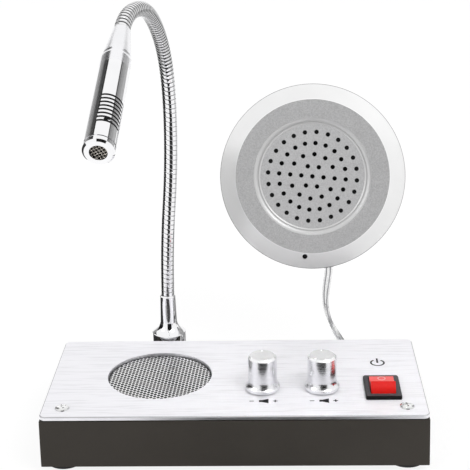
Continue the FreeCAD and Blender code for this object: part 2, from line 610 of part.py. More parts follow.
def desk_speaker():
    x, y = "SPEAKER_X", "SPEAKER_Y"
    sheet_disc = cylinder("grille_plate", "BASKET_RADIUS", "grille_thickness",
                          x, y, "GRILLE_TOP - grille_thickness")
    raised = cylinder("grille_raised", "grille_opening_radius - grille_clearance", "grille_rise",
                      x, y, "GRILLE_TOP")
    named(joined("grille_pressing", sheet_disc, raised), "speaker_grille")
    rim = "(grille_opening_radius - 1.2)"
    basket = turned("basket_pressing", [
        (rim, "0"), ("BASKET_RADIUS", "0"), ("BASKET_RADIUS", "0 - basket_flange"),
        (rim + " + basket_wall", "0 - basket_flange"), (rim + " + basket_wall", "0 - 2 * basket_flange"),
        ("basket_throat_radius + basket_wall", "0 - basket_depth"),
        ("cone_neck_radius + 1.4", "0 - basket_depth"),
        ("cone_neck_radius + 1.4", "basket_wall - basket_depth"),
        ("basket_throat_radius", "basket_wall - basket_depth"), (rim, "0 - 2 * basket_flange"),
    ])
    named(place(basket, x, y, "BASKET_TOP"), "speaker_basket")
    paper = turned("cone_paper", [
        ("0", "cone_thickness - cone_depth + 1.8"), ("cone_neck_radius", "cone_thickness - cone_depth"),
        (rim + " - 1.6", "cone_thickness - 1.2", "0 - 55"), (rim + " - 0.2", "0"),
        (rim + " - 0.2", "0 - cone_thickness"), (rim + " - 1.6", "0 - 1.2"),
        ("cone_neck_radius", "0 - cone_depth", "55"), ("0", "0 - cone_depth + 1.8"),
    ])
    named(place(paper, x, y, "BASKET_TOP - 0.3"), "speaker_cone")
    magnet = turned("magnet_and_yoke", [
        ("0", "0"), ("cone_neck_radius - 1", "0"), ("cone_neck_radius - 1", "1.4 - magnet_height"),
        ("cone_neck_radius + 1.4", "1.4 - magnet_height"), ("cone_neck_radius + 1.4", "0"),
        ("magnet_radius", "0"), ("magnet_radius", "0.8 - magnet_height"),
        ("magnet_radius - 0.8", "0 - magnet_height"), ("0", "0 - magnet_height"),
    ])
    named(place(magnet, x, y, "BASKET_TOP - basket_depth"), "speaker_magnet")
    clamps = []
    for angle in (30, 150, 270):
        block = box("clamp_block", "clamp_reach + clamp_lip", "clamp_width",
                    "grille_thickness + basket_flange + 1",
                    "BASKET_RADIUS - clamp_lip + (clamp_reach + clamp_lip) / 2", 0,
                    "BASKET_TOP - basket_flange - 1")
        seat = cylinder("clamp_seat", "BASKET_RADIUS", "20", 0, 0, "BASKET_TOP - basket_flange")
        clamp = less("clamp", block, seat)
        clamps.append(place(clamp, x, y, 0, Rotation(Vector(0, 0, 1), angle)))
    named(grouped("clamp_set", *clamps), "speaker_clamps")


def volume_control(side, x):
    base = box("pot_case_" + side, "pot_width", "pot_width", "pot_height", x, "KNOB_Y", "POT_UNDER")
    bushing = cylinder("pot_bushing_" + side, "bushing_radius", "plate_thickness + bushing_height",
                       x, "KNOB_Y", "POT_TOP")
    bore = cylinder("pot_bore_" + side, "shaft_radius + shaft_clearance", "40", x, "KNOB_Y", "POT_UNDER + 2")
    named(less("pot_" + side, joined("pot_solid_" + side, base, bushing), bore), "volume_control_" + side)

    shaft_top = "PLATE_TOP + knob_gap + knob_height - shaft_top_gap"
    shaft = cylinder("shaft_" + side, "shaft_radius", "%s - POT_UNDER - 2.2" % shaft_top,
                     x, "KNOB_Y", "POT_UNDER + 2.2")
    named(shaft, "control_shaft_" + side)

    well, flare = "knob_well_depth", "(knob_rim + knob_flare)"
    blank = turned("knob_blank_" + side, [
        ("0", "knob_height - shaft_top_gap"), ("shaft_radius", "knob_height - shaft_top_gap"),
        ("shaft_radius", well), ("knob_well_radius", well), ("knob_well_radius", "0"),
        ("knob_foot_radius", "0"), ("knob_foot_radius", "knob_rim"),
        ("knob_radius", flare, "4.6"),
        ("knob_radius", "knob_height - knob_top_chamfer"),
        ("knob_radius - knob_top_chamfer", "knob_height"), ("0", "knob_height"),
    ])
    place(blank, x, "KNOB_Y", "PLATE_TOP + knob_gap")
    dimple = cone("dimple_" + side, "0.1", "dimple_radius", "dimple_depth + 0.1",
                  x, "KNOB_Y + dimple_offset", "PLATE_TOP + knob_gap + knob_height - dimple_depth")
    named(less("knob_cut_" + side, blank, dimple), "knob_" + side)


def control_fixings():
    nuts = []
    for x in ("KNOB_LEFT_X", "KNOB_RIGHT_X"):
        bore = cylinder("control_bore", "bushing_radius", "20", x, "KNOB_Y", "PLATE_TOP - 1")
        hexed = hexagon("nut_hex", "pot_nut_across", "pot_nut_height", x, "KNOB_Y", "PLATE_TOP")
        nuts.append(less("nut", hexed, bore))
    named(grouped("nut_pair", *nuts), "control_nuts")


def power_switch():
    x, y = "SWITCH_X", "SWITCH_Y"
    half_w, half_l = "(bezel_width / 2)", "(bezel_length / 2)"
    bezel = prism("bezel_frame", round_rectangle("bezel_width", "bezel_length", "1"), "bezel_height")
    doc.recompute()
    pad = bezel.Tip
    rim = [
        "Edge%d" % (index + 1)
        for index, edge in enumerate(pad.Shape.Edges)
        if abs(edge.BoundBox.ZMin - number("bezel_height")) < 1e-6
    ]
    chamfer = bezel.newObject("PartDesign::Chamfer", "bezel_chamfer")
    chamfer.Base = (pad, rim)
    bind(chamfer, "Size", "bezel_slope")
    bezel.Tip = chamfer
    place(bezel, x, y, "PLATE_TOP")
    case = box("switch_case", "switch_body_width", "switch_body_length",
               "switch_body_depth + plate_thickness", x, y, "PLATE_UNDER - switch_body_depth")
    latches = [
        box("latch", "latch_size", "latch_length", "3",
            "SWITCH_X %s (switch_body_width / 2 + latch_size / 2)" % side, y, "PLATE_UNDER - 3")
        for side in ("-", "+")
    ]
    well = box("rocker_well", "rocker_width + 2 * rocker_clearance",
               "2 * (rocker_radius + rocker_end_clearance)", "switch_well_depth + 20",
               x, y, "PIVOT_Z - switch_well_depth")
    pins = cylinder("pin_bore", "rocker_pin_radius + pin_clearance",
                    "rocker_width + 2 * (rocker_pin_length + rocker_clearance)",
                    "SWITCH_X - rocker_width / 2 - rocker_pin_length - rocker_clearance", y, "PIVOT_Z", "x")
    solid = joined("switch_solid", bezel, case, *latches)
    named(less("switch_moulding", solid, well, pins), "switch_body")

    slopes = "(rocker_throw / 2)"
    disc = cylinder("rocker_disc", "rocker_radius", "rocker_width", "0 - rocker_width / 2", 0, 0, "x")
    # The rocker is drawn level, with both halves rising from a shallow valley, then tipped.
    edge = "(rocker_radius + 1)"
    rise = "rocker_crown + %s * tan(%s)" % (edge, slopes)
    envelope = prism("rocker_envelope", [
        ("0 - " + edge, "0 - rocker_keel"), (edge, "0 - rocker_keel"), (edge, rise),
        ("0", "rocker_crown"), ("0 - " + edge, rise),
    ], "rocker_width + 4", "0 - rocker_width / 2 - 2", "YZ_Plane")
    blade = shared("rocker_blade", disc, envelope)
    stub = cylinder("rocker_stub", "rocker_pin_radius", "rocker_width + 2 * rocker_pin_length",
                    "0 - rocker_width / 2 - rocker_pin_length", 0, 0, "x")
    rocker = joined("rocker_solid", blade, stub)
    place(rocker, x, y, "PIVOT_Z")
    rocker.Placement = Placement(rocker.Placement.Base, Rotation(Vector(1, 0, 0), 1))
    bind(rocker, "Placement.Rotation.Angle", "0 - rocker_throw / 2")
    named(rocker, "rocker")

    blades = [
        box("terminal", "terminal_width", "terminal_thickness", "terminal_length",
            x, "SWITCH_Y %s terminal_pitch / 2" % side, "PLATE_UNDER - switch_body_depth - terminal_length")
        for side in ("-", "+")
    ]
    named(grouped("terminal_pair", *blades), "switch_terminals")


def circuit_board():
    board = box("board_blank", "board_width", "BOARD_DEPTH", "board_thickness",
                "BOARD_X", "BOARD_Y", "BOARD_UNDER")
    drills = [cylinder("board_drill", "pilot_radius", "10", x, y, "BOARD_UNDER - 2") for x, y in board_corners()]
    named(less("board_drilled", board, *drills), "main_circuit_board")
    screws = [
        screw("board_screw", x, y, "BOARD_TOP", "pilot_radius - 0.3", "board_screw_length - 0.5",
              "board_screw_head_radius", "board_screw_head_height")
        for x, y in board_corners()
    ]
    named(grouped("board_screw_set", *screws), "board_screws")
    cans = [
        cylinder("capacitor", radius, height, "BOARD_X + (%s)" % x, "BOARD_REAR - %s" % y, "BOARD_TOP")
        for x, y, radius, height in (
            ("0 - 20", "12", "3.2", "7.2"), ("0 - 11", "12", "3.2", "7.2"),
            ("0", "11", "4", "7.6"), ("14", "8", "2.5", "5.5"), ("21", "8", "2.5", "5.5"),
        )
    ]
    named(grouped("capacitor_set", *cans), "electrolytic_capacitors")
    chips = [
        box("chip", length, width, height, "BOARD_X + (%s)" % x, y, "BOARD_TOP")
        for x, y, length, width, height in (
            ("0 - 25.5", "BOARD_REAR - 22", "6", "10", "1.8"),
            ("12", "KNOB_Y + pot_width / 2 + chip_gap + 2", "10", "4", "1.8"),
            ("0 - 25.5", "BOARD_FRONT + 12", "4", "5", "1.5"),
        )
    ]
    named(grouped("chip_set", *chips), "amplifier_chips")

def rear_sockets():
    inner = "(REAR - wall)"
    case = box("dc_case", "dc_width", "dc_length", "dc_tall",
               "DC_X", "%s - dc_length / 2" % inner, "socket_height - dc_tall / 2")
    nose = cylinder("dc_nose", "dc_nose_radius", "wall + 0.6", "DC_X", inner, "socket_height", "y")
    mouth = cylinder("dc_mouth", "dc_bore_radius", "dc_bore_depth + 5",
                     "DC_X", "REAR + 0.6 - dc_bore_depth", "socket_height", "y")
    deep = cylinder("dc_deep", "dc_bore_radius - 0.4", "dc_bore_depth + 5.5",
                    "DC_X", "REAR + 0.6 - dc_bore_depth - 5", "socket_height", "y")
    pin = cylinder("dc_pin", "dc_pin_radius", "5.5",
                   "DC_X", "REAR + 0.6 - dc_bore_depth - 5.5", "socket_height", "y")
    hollow = less("dc_socket_body", joined("dc_solid", case, nose), mouth, deep)
    named(joined("dc_socket_whole", hollow, pin), "power_socket")

    body = cylinder("jack_case", "jack_body_radius", "jack_body_length",
                    "JACK_X", "%s - jack_body_length" % inner, "socket_height", "y")
    thread = cylinder("jack_thread", "jack_nose_radius", "wall + jack_nut_height",
                      "JACK_X", inner, "socket_height", "y")
    bore = cylinder("jack_bore", "jack_bore_radius", "40", "JACK_X",
                    "PLUG_START - plug_pin_length - 1", "socket_height", "y")
    named(less("jack_drilled", joined("jack_solid", body, thread), bore), "lead_socket")
    nut = less("jack_nut",
               cylinder("jack_nut_disc", "jack_nut_radius", "jack_nut_height",
                        "JACK_X", "REAR", "socket_height", "y"),
               cylinder("jack_nut_hole", "jack_nose_radius", "20", "JACK_X", "REAR - 1", "socket_height", "y"))
    named(nut, "lead_socket_nut")


# ================================================================ gooseneck

def neck_bracket():
    """A moulded bracket on the rear wall; the gooseneck's flange stands on its round lug."""
    tall = "(LUG_TOP - lug_bottom)"
    lug = cylinder("lug_round", "LUG_RADIUS", tall, "NECK_X", "NECK_Y", "lug_bottom")
    web = box("lug_web_block", "2 * LUG_RADIUS", "neck_back", tall, "NECK_X", "REAR + neck_back / 2", "lug_bottom")
    plate = box("bracket_plate", "2 * (LUG_RADIUS + bracket_margin)", "bracket_thickness", tall,
                "NECK_X", "REAR + bracket_thickness / 2", "lug_bottom")
    bores = [
        box("wall_side", "3 * LUG_RADIUS", "LUG_RADIUS", "2 * desk_height", "NECK_X", "REAR - LUG_RADIUS / 2", 0),
        cylinder("stem_bore", "stud_radius + 0.1", "30", "NECK_X", "NECK_Y", 0),
        cylinder("nut_well", "neck_nut_well_radius", tall + " - lug_web", "NECK_X", "NECK_Y", "lug_bottom"),
        cylinder("wire_duct", "wire_duct_radius", "neck_back + 1", "NECK_X", "REAR - 1", "BRACKET_SCREW_Z", "y"),
    ]
    screws = []
    for side in ("-", "+"):
        x = "NECK_X %s bracket_screw_spread" % side
        bores.append(cylinder("bracket_pilot", "pilot_radius", "bracket_screw_length",
                              x, "REAR - wall", "BRACKET_SCREW_Z", "y"))
        shank = cylinder("bracket_shank", "pilot_radius", "bracket_screw_length - 0.5",
                         x, "REAR - wall", "BRACKET_SCREW_Z", "y")
        head = cylinder("bracket_head", "board_screw_head_radius", "board_screw_head_height",
                        x, "REAR - wall - board_screw_head_height", "BRACKET_SCREW_Z", "y")
        screws.append(joined("bracket_screw", shank, head))
    named(less("bracket_drilled", joined("bracket_solid", lug, web, plate), *bores), "neck_bracket")
    named(grouped("bracket_screw_pair", *screws), "bracket_screws")


def gooseneck_base():
    flange = turned("flange_turning", [
        ("stud_bore_radius", "0 - stud_length"), ("stud_radius - 0.4", "0 - stud_length"),
        ("stud_radius", "0.4 - stud_length"), ("stud_radius", "0"),
        ("flange_radius - 0.3", "0"), ("flange_radius", "0.3"),
        ("flange_radius", "flange_height - 0.3"), ("flange_radius - 0.3", "flange_height"),
        ("sleeve_foot_radius", "flange_height + flare_height", "7"),
        ("sleeve_top_radius", "sleeve_height - sleeve_rounding"),
        ("sleeve_top_radius - sleeve_rounding", "sleeve_height"), ("neck_radius", "sleeve_height"),
        ("neck_radius", "sleeve_height - socket_depth"), ("stud_bore_radius", "sleeve_height - socket_depth"),
    ])
    named(place(flange, "NECK_X", "NECK_Y", "LUG_TOP"), "neck_flange")
    under = "(LUG_TOP - lug_web)"
    nut = less("neck_nut_hex",
               hexagon("neck_nut_blank", "neck_nut_across", "neck_nut_height", "NECK_X", "NECK_Y",
                       under + " - neck_nut_height"),
               cylinder("neck_nut_hole", "stud_radius", "40", "NECK_X", "NECK_Y", 0))
    named(nut, "neck_nut")


# The gooseneck's centre line as it is bent now, from its foot in the flange's sleeve.  Each joint
# is in the middle of a run, and the last link ends in the microphone's tail.
NECK_FOOT = Vector(number("NECK_X"), number("NECK_Y"), number("LUG_TOP + sleeve_height - socket_depth"))
NECK_BENDS = [
    Vector(0, 0, number("bend_1_rise")),
    Vector(number("bend_2_side"), 0, number("bend_2_rise")),
    Vector(number("bend_3_side"), number("bend_3_back"), number("bend_3_rise")),
    Vector(number("bend_4_side"), number("bend_4_back"), number("bend_4_rise")),
    Vector(number("bend_5_side"), -number("bend_5_reach"), number("bend_5_rise")),
    Vector(number("bend_6_side"), -number("bend_6_reach"), number("bend_6_rise")),
    Vector(0, -number("bend_7_reach"), number("bend_7_rise")),
]
MIC_DIRECTION = Vector(-0.0296, -0.9104, -0.4127).normalize()
MIC_START = NECK_FOOT + Vector(-number("mic_side"), -number("mic_reach"), number("mic_rise"))


def ball(centre, radius):
    return Part.makeSphere(radius, centre)


def gooseneck():
    radius = number("neck_radius")
    gap = number("joint_clearance")
    bends = [NECK_FOOT + bend for bend in NECK_BENDS]
    joints = [(below + above) / 2 for below, above in zip(bends, bends[1:])]
    last_bend = MIC_START - MIC_DIRECTION * number("mic_lead_in")
    tip = MIC_START + MIC_DIRECTION * number("mic_socket_depth")
    for index, joint in enumerate(joints):
        print("neck joint %d at" % (index + 1), [round(value, 3) for value in joint])

    def link(points, first_joint, last_joint):
        edges, radii = route_edges(points)
        shape = tube_along(edges, radius)
        if last_joint is not None:
            shape = shape.fuse(ball(last_joint, radius))
        if first_joint is not None:
            shape = shape.cut(ball(first_joint, radius + gap))
        return shape.removeSplitter()

    stages = [link([NECK_FOOT, bends[0], joints[0]], None, joints[0])]
    for below, corner, above in zip(joints, bends[1:], joints[1:]):
        stages.append(link([below, corner, above], below, above))
    stages.append(link([joints[-1], bends[-1], last_bend, tip], joints[-1], None))
    for index, shape in enumerate(stages):
        item = doc.addObject("Part::Feature", "neck_link")
        item.Shape = shape
        named(item, "gooseneck_link_%d" % index)


# ================================================================ microphone head

def mic_placement():
    return Placement(MIC_START, Rotation(Vector(0, 0, 1), MIC_DIRECTION))


def microphone():
    seat = mic_placement()

    def fixed(item, node):
        item.Placement = seat
        return named(item, node)

    cone_end = "mic_cone_length"
    tail = turned("mic_tail_turning", [
        ("neck_radius", "0"), ("mic_neck_radius", "0"),
        ("mic_radius - 0.25", cone_end + " - 1.2"), ("mic_radius", cone_end + " + 1.4", "9"),
        ("mic_radius", "mic_seam"), ("mic_radius - mic_wall", "mic_seam"),
        ("mic_radius - mic_wall", "mic_seam + 4"), ("mic_radius - 2 * mic_wall", "mic_seam + 4"),
        ("mic_radius - 2 * mic_wall", "mic_cone_length"), ("0", "mic_cone_length"),
        ("0", "mic_socket_depth"), ("neck_radius", "mic_socket_depth"),
    ])
    fixed(tail, "mic_tail")

    barrel_end = "(mic_length - mic_front_length)"
    barrel = turned("mic_barrel_turning", [
        ("mic_radius - mic_wall", "mic_seam"), ("mic_radius", "mic_seam"), ("mic_radius", barrel_end),
        ("mic_radius - mic_wall", barrel_end),
    ])
    slots = []
    for index in range(8):
        for half in range(2):
            height = "mic_slot_first + %d * mic_slot_pitch" % index
            sector = cylinder("mic_slot", "mic_radius + 1", "mic_slot_width", 0, 0, height)
            bind(sector, "Angle", "mic_slot_span")
            turn = number("mic_slot_turn") - number("mic_slot_span") / 2 + 180 * half
            sector.Placement = Placement(sector.Placement.Base, Rotation(Vector(0, 0, 1), turn))
            slots.append(sector)
    core = cylinder("mic_slot_core", "mic_radius - mic_wall - 0.3", "mic_length", 0, 0, 0)
    rings = less("mic_slot_rings", joined("mic_slot_set", *slots), core)
    fixed(less("mic_barrel_slotted", barrel, rings), "mic_barrel")

    front = turned("mic_front_turning", [
        ("mic_radius - mic_wall - 0.5", barrel_end + " - 1"), ("mic_radius - mic_wall", barrel_end + " - 1"),
        ("mic_radius - mic_wall", barrel_end), ("mic_radius - mic_step", barrel_end),
        ("mic_radius - mic_step", barrel_end + " + mic_step_width"),
        ("mic_radius", barrel_end + " + mic_step_width"),
        ("mic_radius", "mic_length - mic_front_chamfer"), ("mic_radius - mic_front_chamfer", "mic_length"),
        ("mic_window_radius", "mic_length"), ("mic_window_radius", "mic_length - 0.8"),
        ("mic_radius - mic_wall - 0.5", "mic_length - 0.8"),
    ])
    fixed(front, "mic_front_ring")

    mesh_top = "(mic_length - 0.8)"
    mesh = cylinder("mic_mesh_disc", "mic_radius - mic_wall - 0.5", "mic_mesh_thickness",
                    0, 0, mesh_top + " - mic_mesh_thickness")
    fixed_in_head(mesh, seat, mesh_top + " - mic_mesh_thickness", "mic_mesh")
    foam_top = "(mic_length - 0.8 - mic_mesh_thickness)"
    outside, inside = "(mic_radius - mic_wall)", "(mic_radius - mic_wall - 0.8)"
    foam = turned("mic_foam_sleeve", [
        ("0", foam_top + " - mic_foam_thickness"), (inside, foam_top + " - mic_foam_thickness"),
        (inside, "mic_seam + 14"), (outside, "mic_seam + 14"), (outside, barrel_end + " - 1"),
        (outside + " - 0.5", barrel_end + " - 1"), (outside + " - 0.5", foam_top), ("0", foam_top),
    ])
    fixed(foam, "mic_windscreen")
    capsule = cylinder("mic_capsule_can", inside, "capsule_length", 0, 0, 0)
    fixed_in_head(capsule, seat, foam_top + " - mic_foam_thickness - capsule_length", "mic_capsule")


def fixed_in_head(item, seat, height, node):
    """Seat a plain disc at its height along the head's axis."""
    item.setExpression("Placement.Base.x", None)
    item.setExpression("Placement.Base.y", None)
    item.setExpression("Placement.Base.z", None)
    item.Placement = seat.multiply(Placement(Vector(0, 0, number(height)), Rotation()))
    named(item, node)


# ================================================================ outer unit

def outer_placement():
    lean = Rotation(Vector(1, 0, 0), 90 - number("outer_lean"))
    turn = Rotation(Vector(0, 0, 1), number("outer_turn"))
    roll = Rotation(Vector(0, 0, 1), number("outer_roll"))
    base = Vector(number("outer_x"), number("outer_y"), number("outer_z"))
    return Placement(base, turn.multiply(lean).multiply(roll))


def outer_unit():
    seat = outer_placement()

    def fixed(item, node):
        item.Placement = seat
        return named(item, node)

    # front moulding: conical rim, flat ring, rounded bevel down to the perforated disc
    shell = turned("outer_front_turning", [
        ("outer_radius - outer_wall", "0"), ("outer_radius", "0"), ("outer_radius", "outer_lip"),
        ("outer_ring_radius", "FACE"), ("outer_inner_radius", "FACE"),
        ("outer_disc_radius + 1.2", "DISC_TOP + 0.7", "3.2"), ("outer_disc_radius + 1.2", "DISC_TOP + 0.35"),
        ("outer_disc_radius + 0.6", "DISC_TOP + 0.35"), ("outer_disc_radius", "DISC_TOP"),
        ("outer_disc_radius + disc_margin", "DISC_TOP"), ("outer_disc_radius + disc_margin", "DISC_UNDER"),
        ("outer_ring_radius - 0.8", "DISC_UNDER"), ("outer_radius - outer_wall", "outer_lip"),
    ])
    # A collar under the rim holds the microphone capsule; its top stays under the rim's slope.
    slope = "((FACE - outer_lip) / (outer_radius - outer_ring_radius))"
    seat_wall = "(outer_capsule_radius + mic_collar_wall)"
    collar = cylinder("mic_collar", seat_wall,
                      "outer_lip + (mic_hole_inset - %s) * %s - mic_collar_cover" % (seat_wall, slope),
                      0, "MIC_HOLE_Y", 0)
    drills = [
        cylinder("outer_sound_hole", "mic_hole_radius", "30", 0, "MIC_HOLE_Y", 0),
        cylinder("capsule_bore", "outer_capsule_radius", "outer_capsule_height", 0, "MIC_HOLE_Y", 0),
    ]
    for angle in (90, 210, 330):
        x, y = "outer_boss_offset * cos(%d)" % angle, "outer_boss_offset * sin(%d)" % angle
        drills.append(cylinder("outer_pilot", "outer_screw_radius", "2", x, y, "DISC_UNDER"))
    fixed(less("outer_front_drilled", joined("outer_front_solid", shell, collar), *drills), "outer_front")

    back = turned("outer_back_turning", [
        ("0", "BACK"), ("outer_radius - outer_back_taper - 1", "BACK"),
        ("outer_radius - outer_back_taper", "BACK + 1"), ("outer_radius", "0"),
        ("outer_radius - outer_wall", "0"), ("outer_radius - outer_wall - outer_back_taper", "BACK + outer_wall"),
        ("0", "BACK + outer_wall"),
    ])
    bosses, bores, screws = [], [], []
    for angle in (90, 210, 330):
        x, y = "outer_boss_offset * cos(%d)" % angle, "outer_boss_offset * sin(%d)" % angle
        bosses.append(cylinder("outer_boss", "outer_boss_radius", "outer_back_depth + DISC_UNDER", x, y, "BACK"))
        bores.append(cylinder("outer_bore", "outer_screw_radius", "40", x, y, "BACK - 1"))
        bores.append(cylinder("outer_counterbore", "outer_screw_head_radius + 0.2", "2.6", x, y, "BACK - 0.6"))
        shank = cylinder("outer_screw_shank", "outer_screw_radius", "outer_back_depth + DISC_UNDER - 0.2",
                         x, y, "BACK + 2")
        head = cylinder("outer_screw_head", "outer_screw_head_radius", "1.4", x, y, "BACK + 0.6")
        screws.append(joined("outer_screw", shank, head))
    for radius, start in (("grommet_radius - 0.6", "outer_radius - 8"), ("grommet_radius", "outer_radius - 0.4")):
        outlet = cylinder("outer_outlet", radius, "10", 0, 0, 0)
        for axis in "xyz":
            outlet.setExpression("Placement.Base." + axis, None)
        outlet.Placement = grommet_seat(start)
        bores.append(outlet)
    fixed(less("outer_back_drilled", joined("outer_back_solid", back, *bosses), *bores), "outer_back")
    fixed(grouped("outer_screw_set", *screws), "outer_screws")

    pad = cylinder("outer_pad_disc", "pad_radius", "pad_thickness", 0, 0, 0)
    seated(pad, seat, 0, 0, "BACK - pad_thickness", "adhesive_pad")

    outer_grille(seat)

    top = "DISC_UNDER"
    rim = "(outer_speaker_radius - 3)"
    basket = turned("outer_basket_pressing", [
        (rim, top), ("outer_speaker_radius", top), ("outer_speaker_radius", top + " - basket_flange"),
        (rim + " + basket_wall", top + " - basket_flange"), (rim + " + basket_wall", top + " - 2 * basket_flange"),
        ("outer_throat_radius + basket_wall", top + " - outer_basket_depth"),
        ("cone_neck_radius", top + " - outer_basket_depth"),
        ("cone_neck_radius", top + " - outer_basket_depth + basket_wall"),
        ("outer_throat_radius", top + " - outer_basket_depth + basket_wall"), (rim, top + " - 2 * basket_flange"),
    ])
    fixed(basket, "outer_speaker_basket")
    deep = top + " - cone_depth + 1.2"
    paper = turned("outer_cone_paper", [
        ("0", deep + " + cone_thickness + 1"), ("cone_neck_radius - 1", deep + " + cone_thickness"),
        (rim + " - 0.2", top + " - 0.3"), (rim + " - 0.2", top + " - 0.3 - cone_thickness"),
        ("cone_neck_radius - 1", deep), ("0", deep + " + 1"),
    ])
    fixed(paper, "outer_speaker_cone")
    under = top + " - outer_basket_depth"
    magnet = cylinder("outer_magnet_disc", "outer_magnet_radius", "outer_magnet_height", 0, 0, 0)
    seated(magnet, seat, 0, 0, under + " - outer_magnet_height", "outer_speaker_magnet")

    capsule = cylinder("outer_capsule_can", "outer_capsule_radius", "outer_capsule_height", 0, 0, 0)
    seated(capsule, seat, 0, "MIC_HOLE_Y", "0", "outer_mic_capsule")
    grommet = turned("grommet_turning", [
        ("cord_radius", "0"), ("grommet_radius - 0.6", "0"), ("grommet_radius - 0.6", "3"),
        ("grommet_radius", "3"), ("grommet_radius - 0.5", "3 + grommet_stand"), ("cord_radius", "3 + grommet_stand"),
    ])
    grommet.Placement = seat.multiply(grommet_seat("outer_radius - 3.4"))
    named(grommet, "cord_grommet")


def seated(item, seat, x, y, z, node):
    """Fix a plain piece in the outer unit, at a place in the unit's own frame."""
    for axis in "xyz":
        item.setExpression("Placement.Base." + axis, None)
    shift = Vector(number(x), number(y), number(z))
    if item.TypeId == "Part::Box":
        shift -= Vector(item.Length.Value / 2, item.Width.Value / 2, 0)
    item.Placement = seat.multiply(Placement(shift, Rotation()))
    return named(item, node)


def grommet_seat(radius):
    """The lead's outlet in the side wall of the outer unit, near the bottom."""
    angle = math.radians(number("grommet_angle") - number("outer_roll"))
    outward = Vector(math.sin(angle), -math.cos(angle), 0)
    base = outward * number(radius) + Vector(0, 0, -number("grommet_depth"))
    return Placement(base, Rotation(Vector(0, 0, 1), outward))


def outer_grille(seat):
    """The perforated disc: one hole in the middle and four rings of holes round it."""
    body = new_body("outer_disc")
    face = new_sketch(body, "outer_disc_outline", "XY_Plane", "DISC_UNDER")
    circle_in(face, "0", "0", "outer_disc_radius + disc_margin")
    pad = body.newObject("PartDesign::Pad", "outer_disc_pad")
    pad.Profile = face
    bind(pad, "Length", "disc_thickness")
    body.Tip = pad
    rings = [(0, 1, 0.0), (1, 6, 30.0), (2, 12, 0.0), (3, 20, 0.0), (4, 24, 0.0)]
    for ring, count, offset in rings:
        doc.recompute()
        drill = new_sketch(body, "ring_%d" % ring, "XY_Plane", "DISC_TOP")
        reach = "ring_pitch * %d" % ring
        x, y = "(%s) * sin(%s)" % (reach, offset), "(%s) * cos(%s)" % (reach, offset)
        circle_in(drill, x, y, "hole_radius")
        hole = pocket(body, drill, "disc_thickness * 2")
        if count > 1:
            pattern = body.newObject("PartDesign::PolarPattern", "ring_pattern_%d" % ring)
            pattern.Originals = [hole]
            pattern.Axis = (drill, ["N_Axis"])
            pattern.Angle = 360
            pattern.Occurrences = count
            body.Tip = pattern
    body.Placement = seat
    named(body, "outer_grille")


# ================================================================ the outer unit's lead

LEAD_DROP = [
    Vector(42.79, 65.92, 54.6), Vector(43.3, 64.8, 50.0), Vector(42.1, 63.1, 43.6), Vector(41.3, 61.0, 36.7),
    Vector(41.9, 59.0, 30.5), Vector(44.6, 56.4, 24.6), Vector(47.3, 52.4, 20.9), Vector(51.0, 47.6, 16.0),
    Vector(55.6, 42.6, 10.6), Vector(61.4, 40.5, 6.2),
]
LEAD_TAIL = [
    Vector(-4.0, 57.1, 10.0), Vector(-4.0, 63.1, 10.0), Vector(-1.6, 69.2, 8.4), Vector(3.3, 73.6, 5.2),
    Vector(10.0, 75.6, 2.9), Vector(16.8, 75.2, 2.0), Vector(22.6, 75.0, 1.85),
]


def lead():
    radius = number("cord_radius")
    for node, points in (("cord_drop", LEAD_DROP), ("cord_tail", LEAD_TAIL)):
        edges, radii = route_edges(points)
        shape = tube_along(edges, radius)
        length = sum(edge.Length for edge in edges)
        share = shape.Volume / (math.pi * radius ** 2 * length)
        print(node, "radii", [round(value, 1) for value in radii], "length", round(length, 1),
              "volume share", round(share, 4))
        item = doc.addObject("Part::Feature", node + "_tube")
        item.Shape = shape
        named(item, node)

    thick = "(2 * cord_radius)"
    reach = "(hank_fold_radius + hank_columns * %s - cord_radius)" % thick
    hollow = "(hank_fold_radius - cord_radius)"
    half = "(hank_straight / 2)"

    def racetrack(radius_text):
        return [
            ("0 - " + half, radius_text), ("0 - " + half, "0 - " + radius_text, "0 - (%s + 0.0001)" % radius_text),
            (half, "0 - " + radius_text), (half, radius_text, "0 - (%s + 0.0001)" % radius_text),
        ]

    tall = "hank_layers * %s" % thick
    outside = prism("hank_outside", racetrack(reach), tall)
    inside = prism("hank_inside", racetrack(hollow), tall + " + 2", "0 - 1")
    hank = less("hank_ring", outside, inside)
    named(place(hank, "hank_x", "hank_y", 0), "cord_hank")

    strap_outer = box("tie_outer", "tie_width", "2 * %s + 2 * tie_thickness" % reach, tall + " + tie_thickness",
                      "hank_x", "hank_y", 0)
    strap_inner = box("tie_inner", "tie_width + 2", "2 * %s" % reach, tall, "hank_x", "hank_y", 0)
    named(less("tie_strap", strap_outer, strap_inner), "cord_tie")

    shell = turned("plug_turning", [
        ("0", "0 - plug_pin_length"), ("plug_pin_radius - 0.6", "0 - plug_pin_length"),
        ("plug_pin_radius", "1 - plug_pin_length"), ("plug_pin_radius", "0"), ("plug_radius - 0.4", "0"),
        ("plug_radius", "0.4"), ("plug_radius", "plug_length"),
        ("cord_radius + 0.7", "plug_length + plug_relief_length"), ("0", "plug_length + plug_relief_length"),
    ])
    shell.Placement = Placement(Vector(0, 0, 0), TOWARDS["y"])
    named(place(shell, "JACK_X", "PLUG_START", "socket_height", TOWARDS["y"]), "cord_plug")


# ================================================================ make and write

base_housing()
top_panel()
panel_fixings()
feet()
desk_speaker()
volume_control("left", "KNOB_LEFT_X")
volume_control("right", "KNOB_RIGHT_X")
control_fixings()
power_switch()
circuit_board()
rear_sockets()
neck_bracket()
gooseneck_base()
gooseneck()
microphone()
outer_unit()
lead()
doc.recompute()

faults = [item.Label for item in doc.Objects if "Invalid" in item.State or "Error" in item.State]
for item in parts:
    if item.Shape.isNull() or not item.Shape.isValid() or not item.Shape.Solids:
        faults.append(item.Label)
if faults:
    raise RuntimeError("not built: %s" % ", ".join(faults))

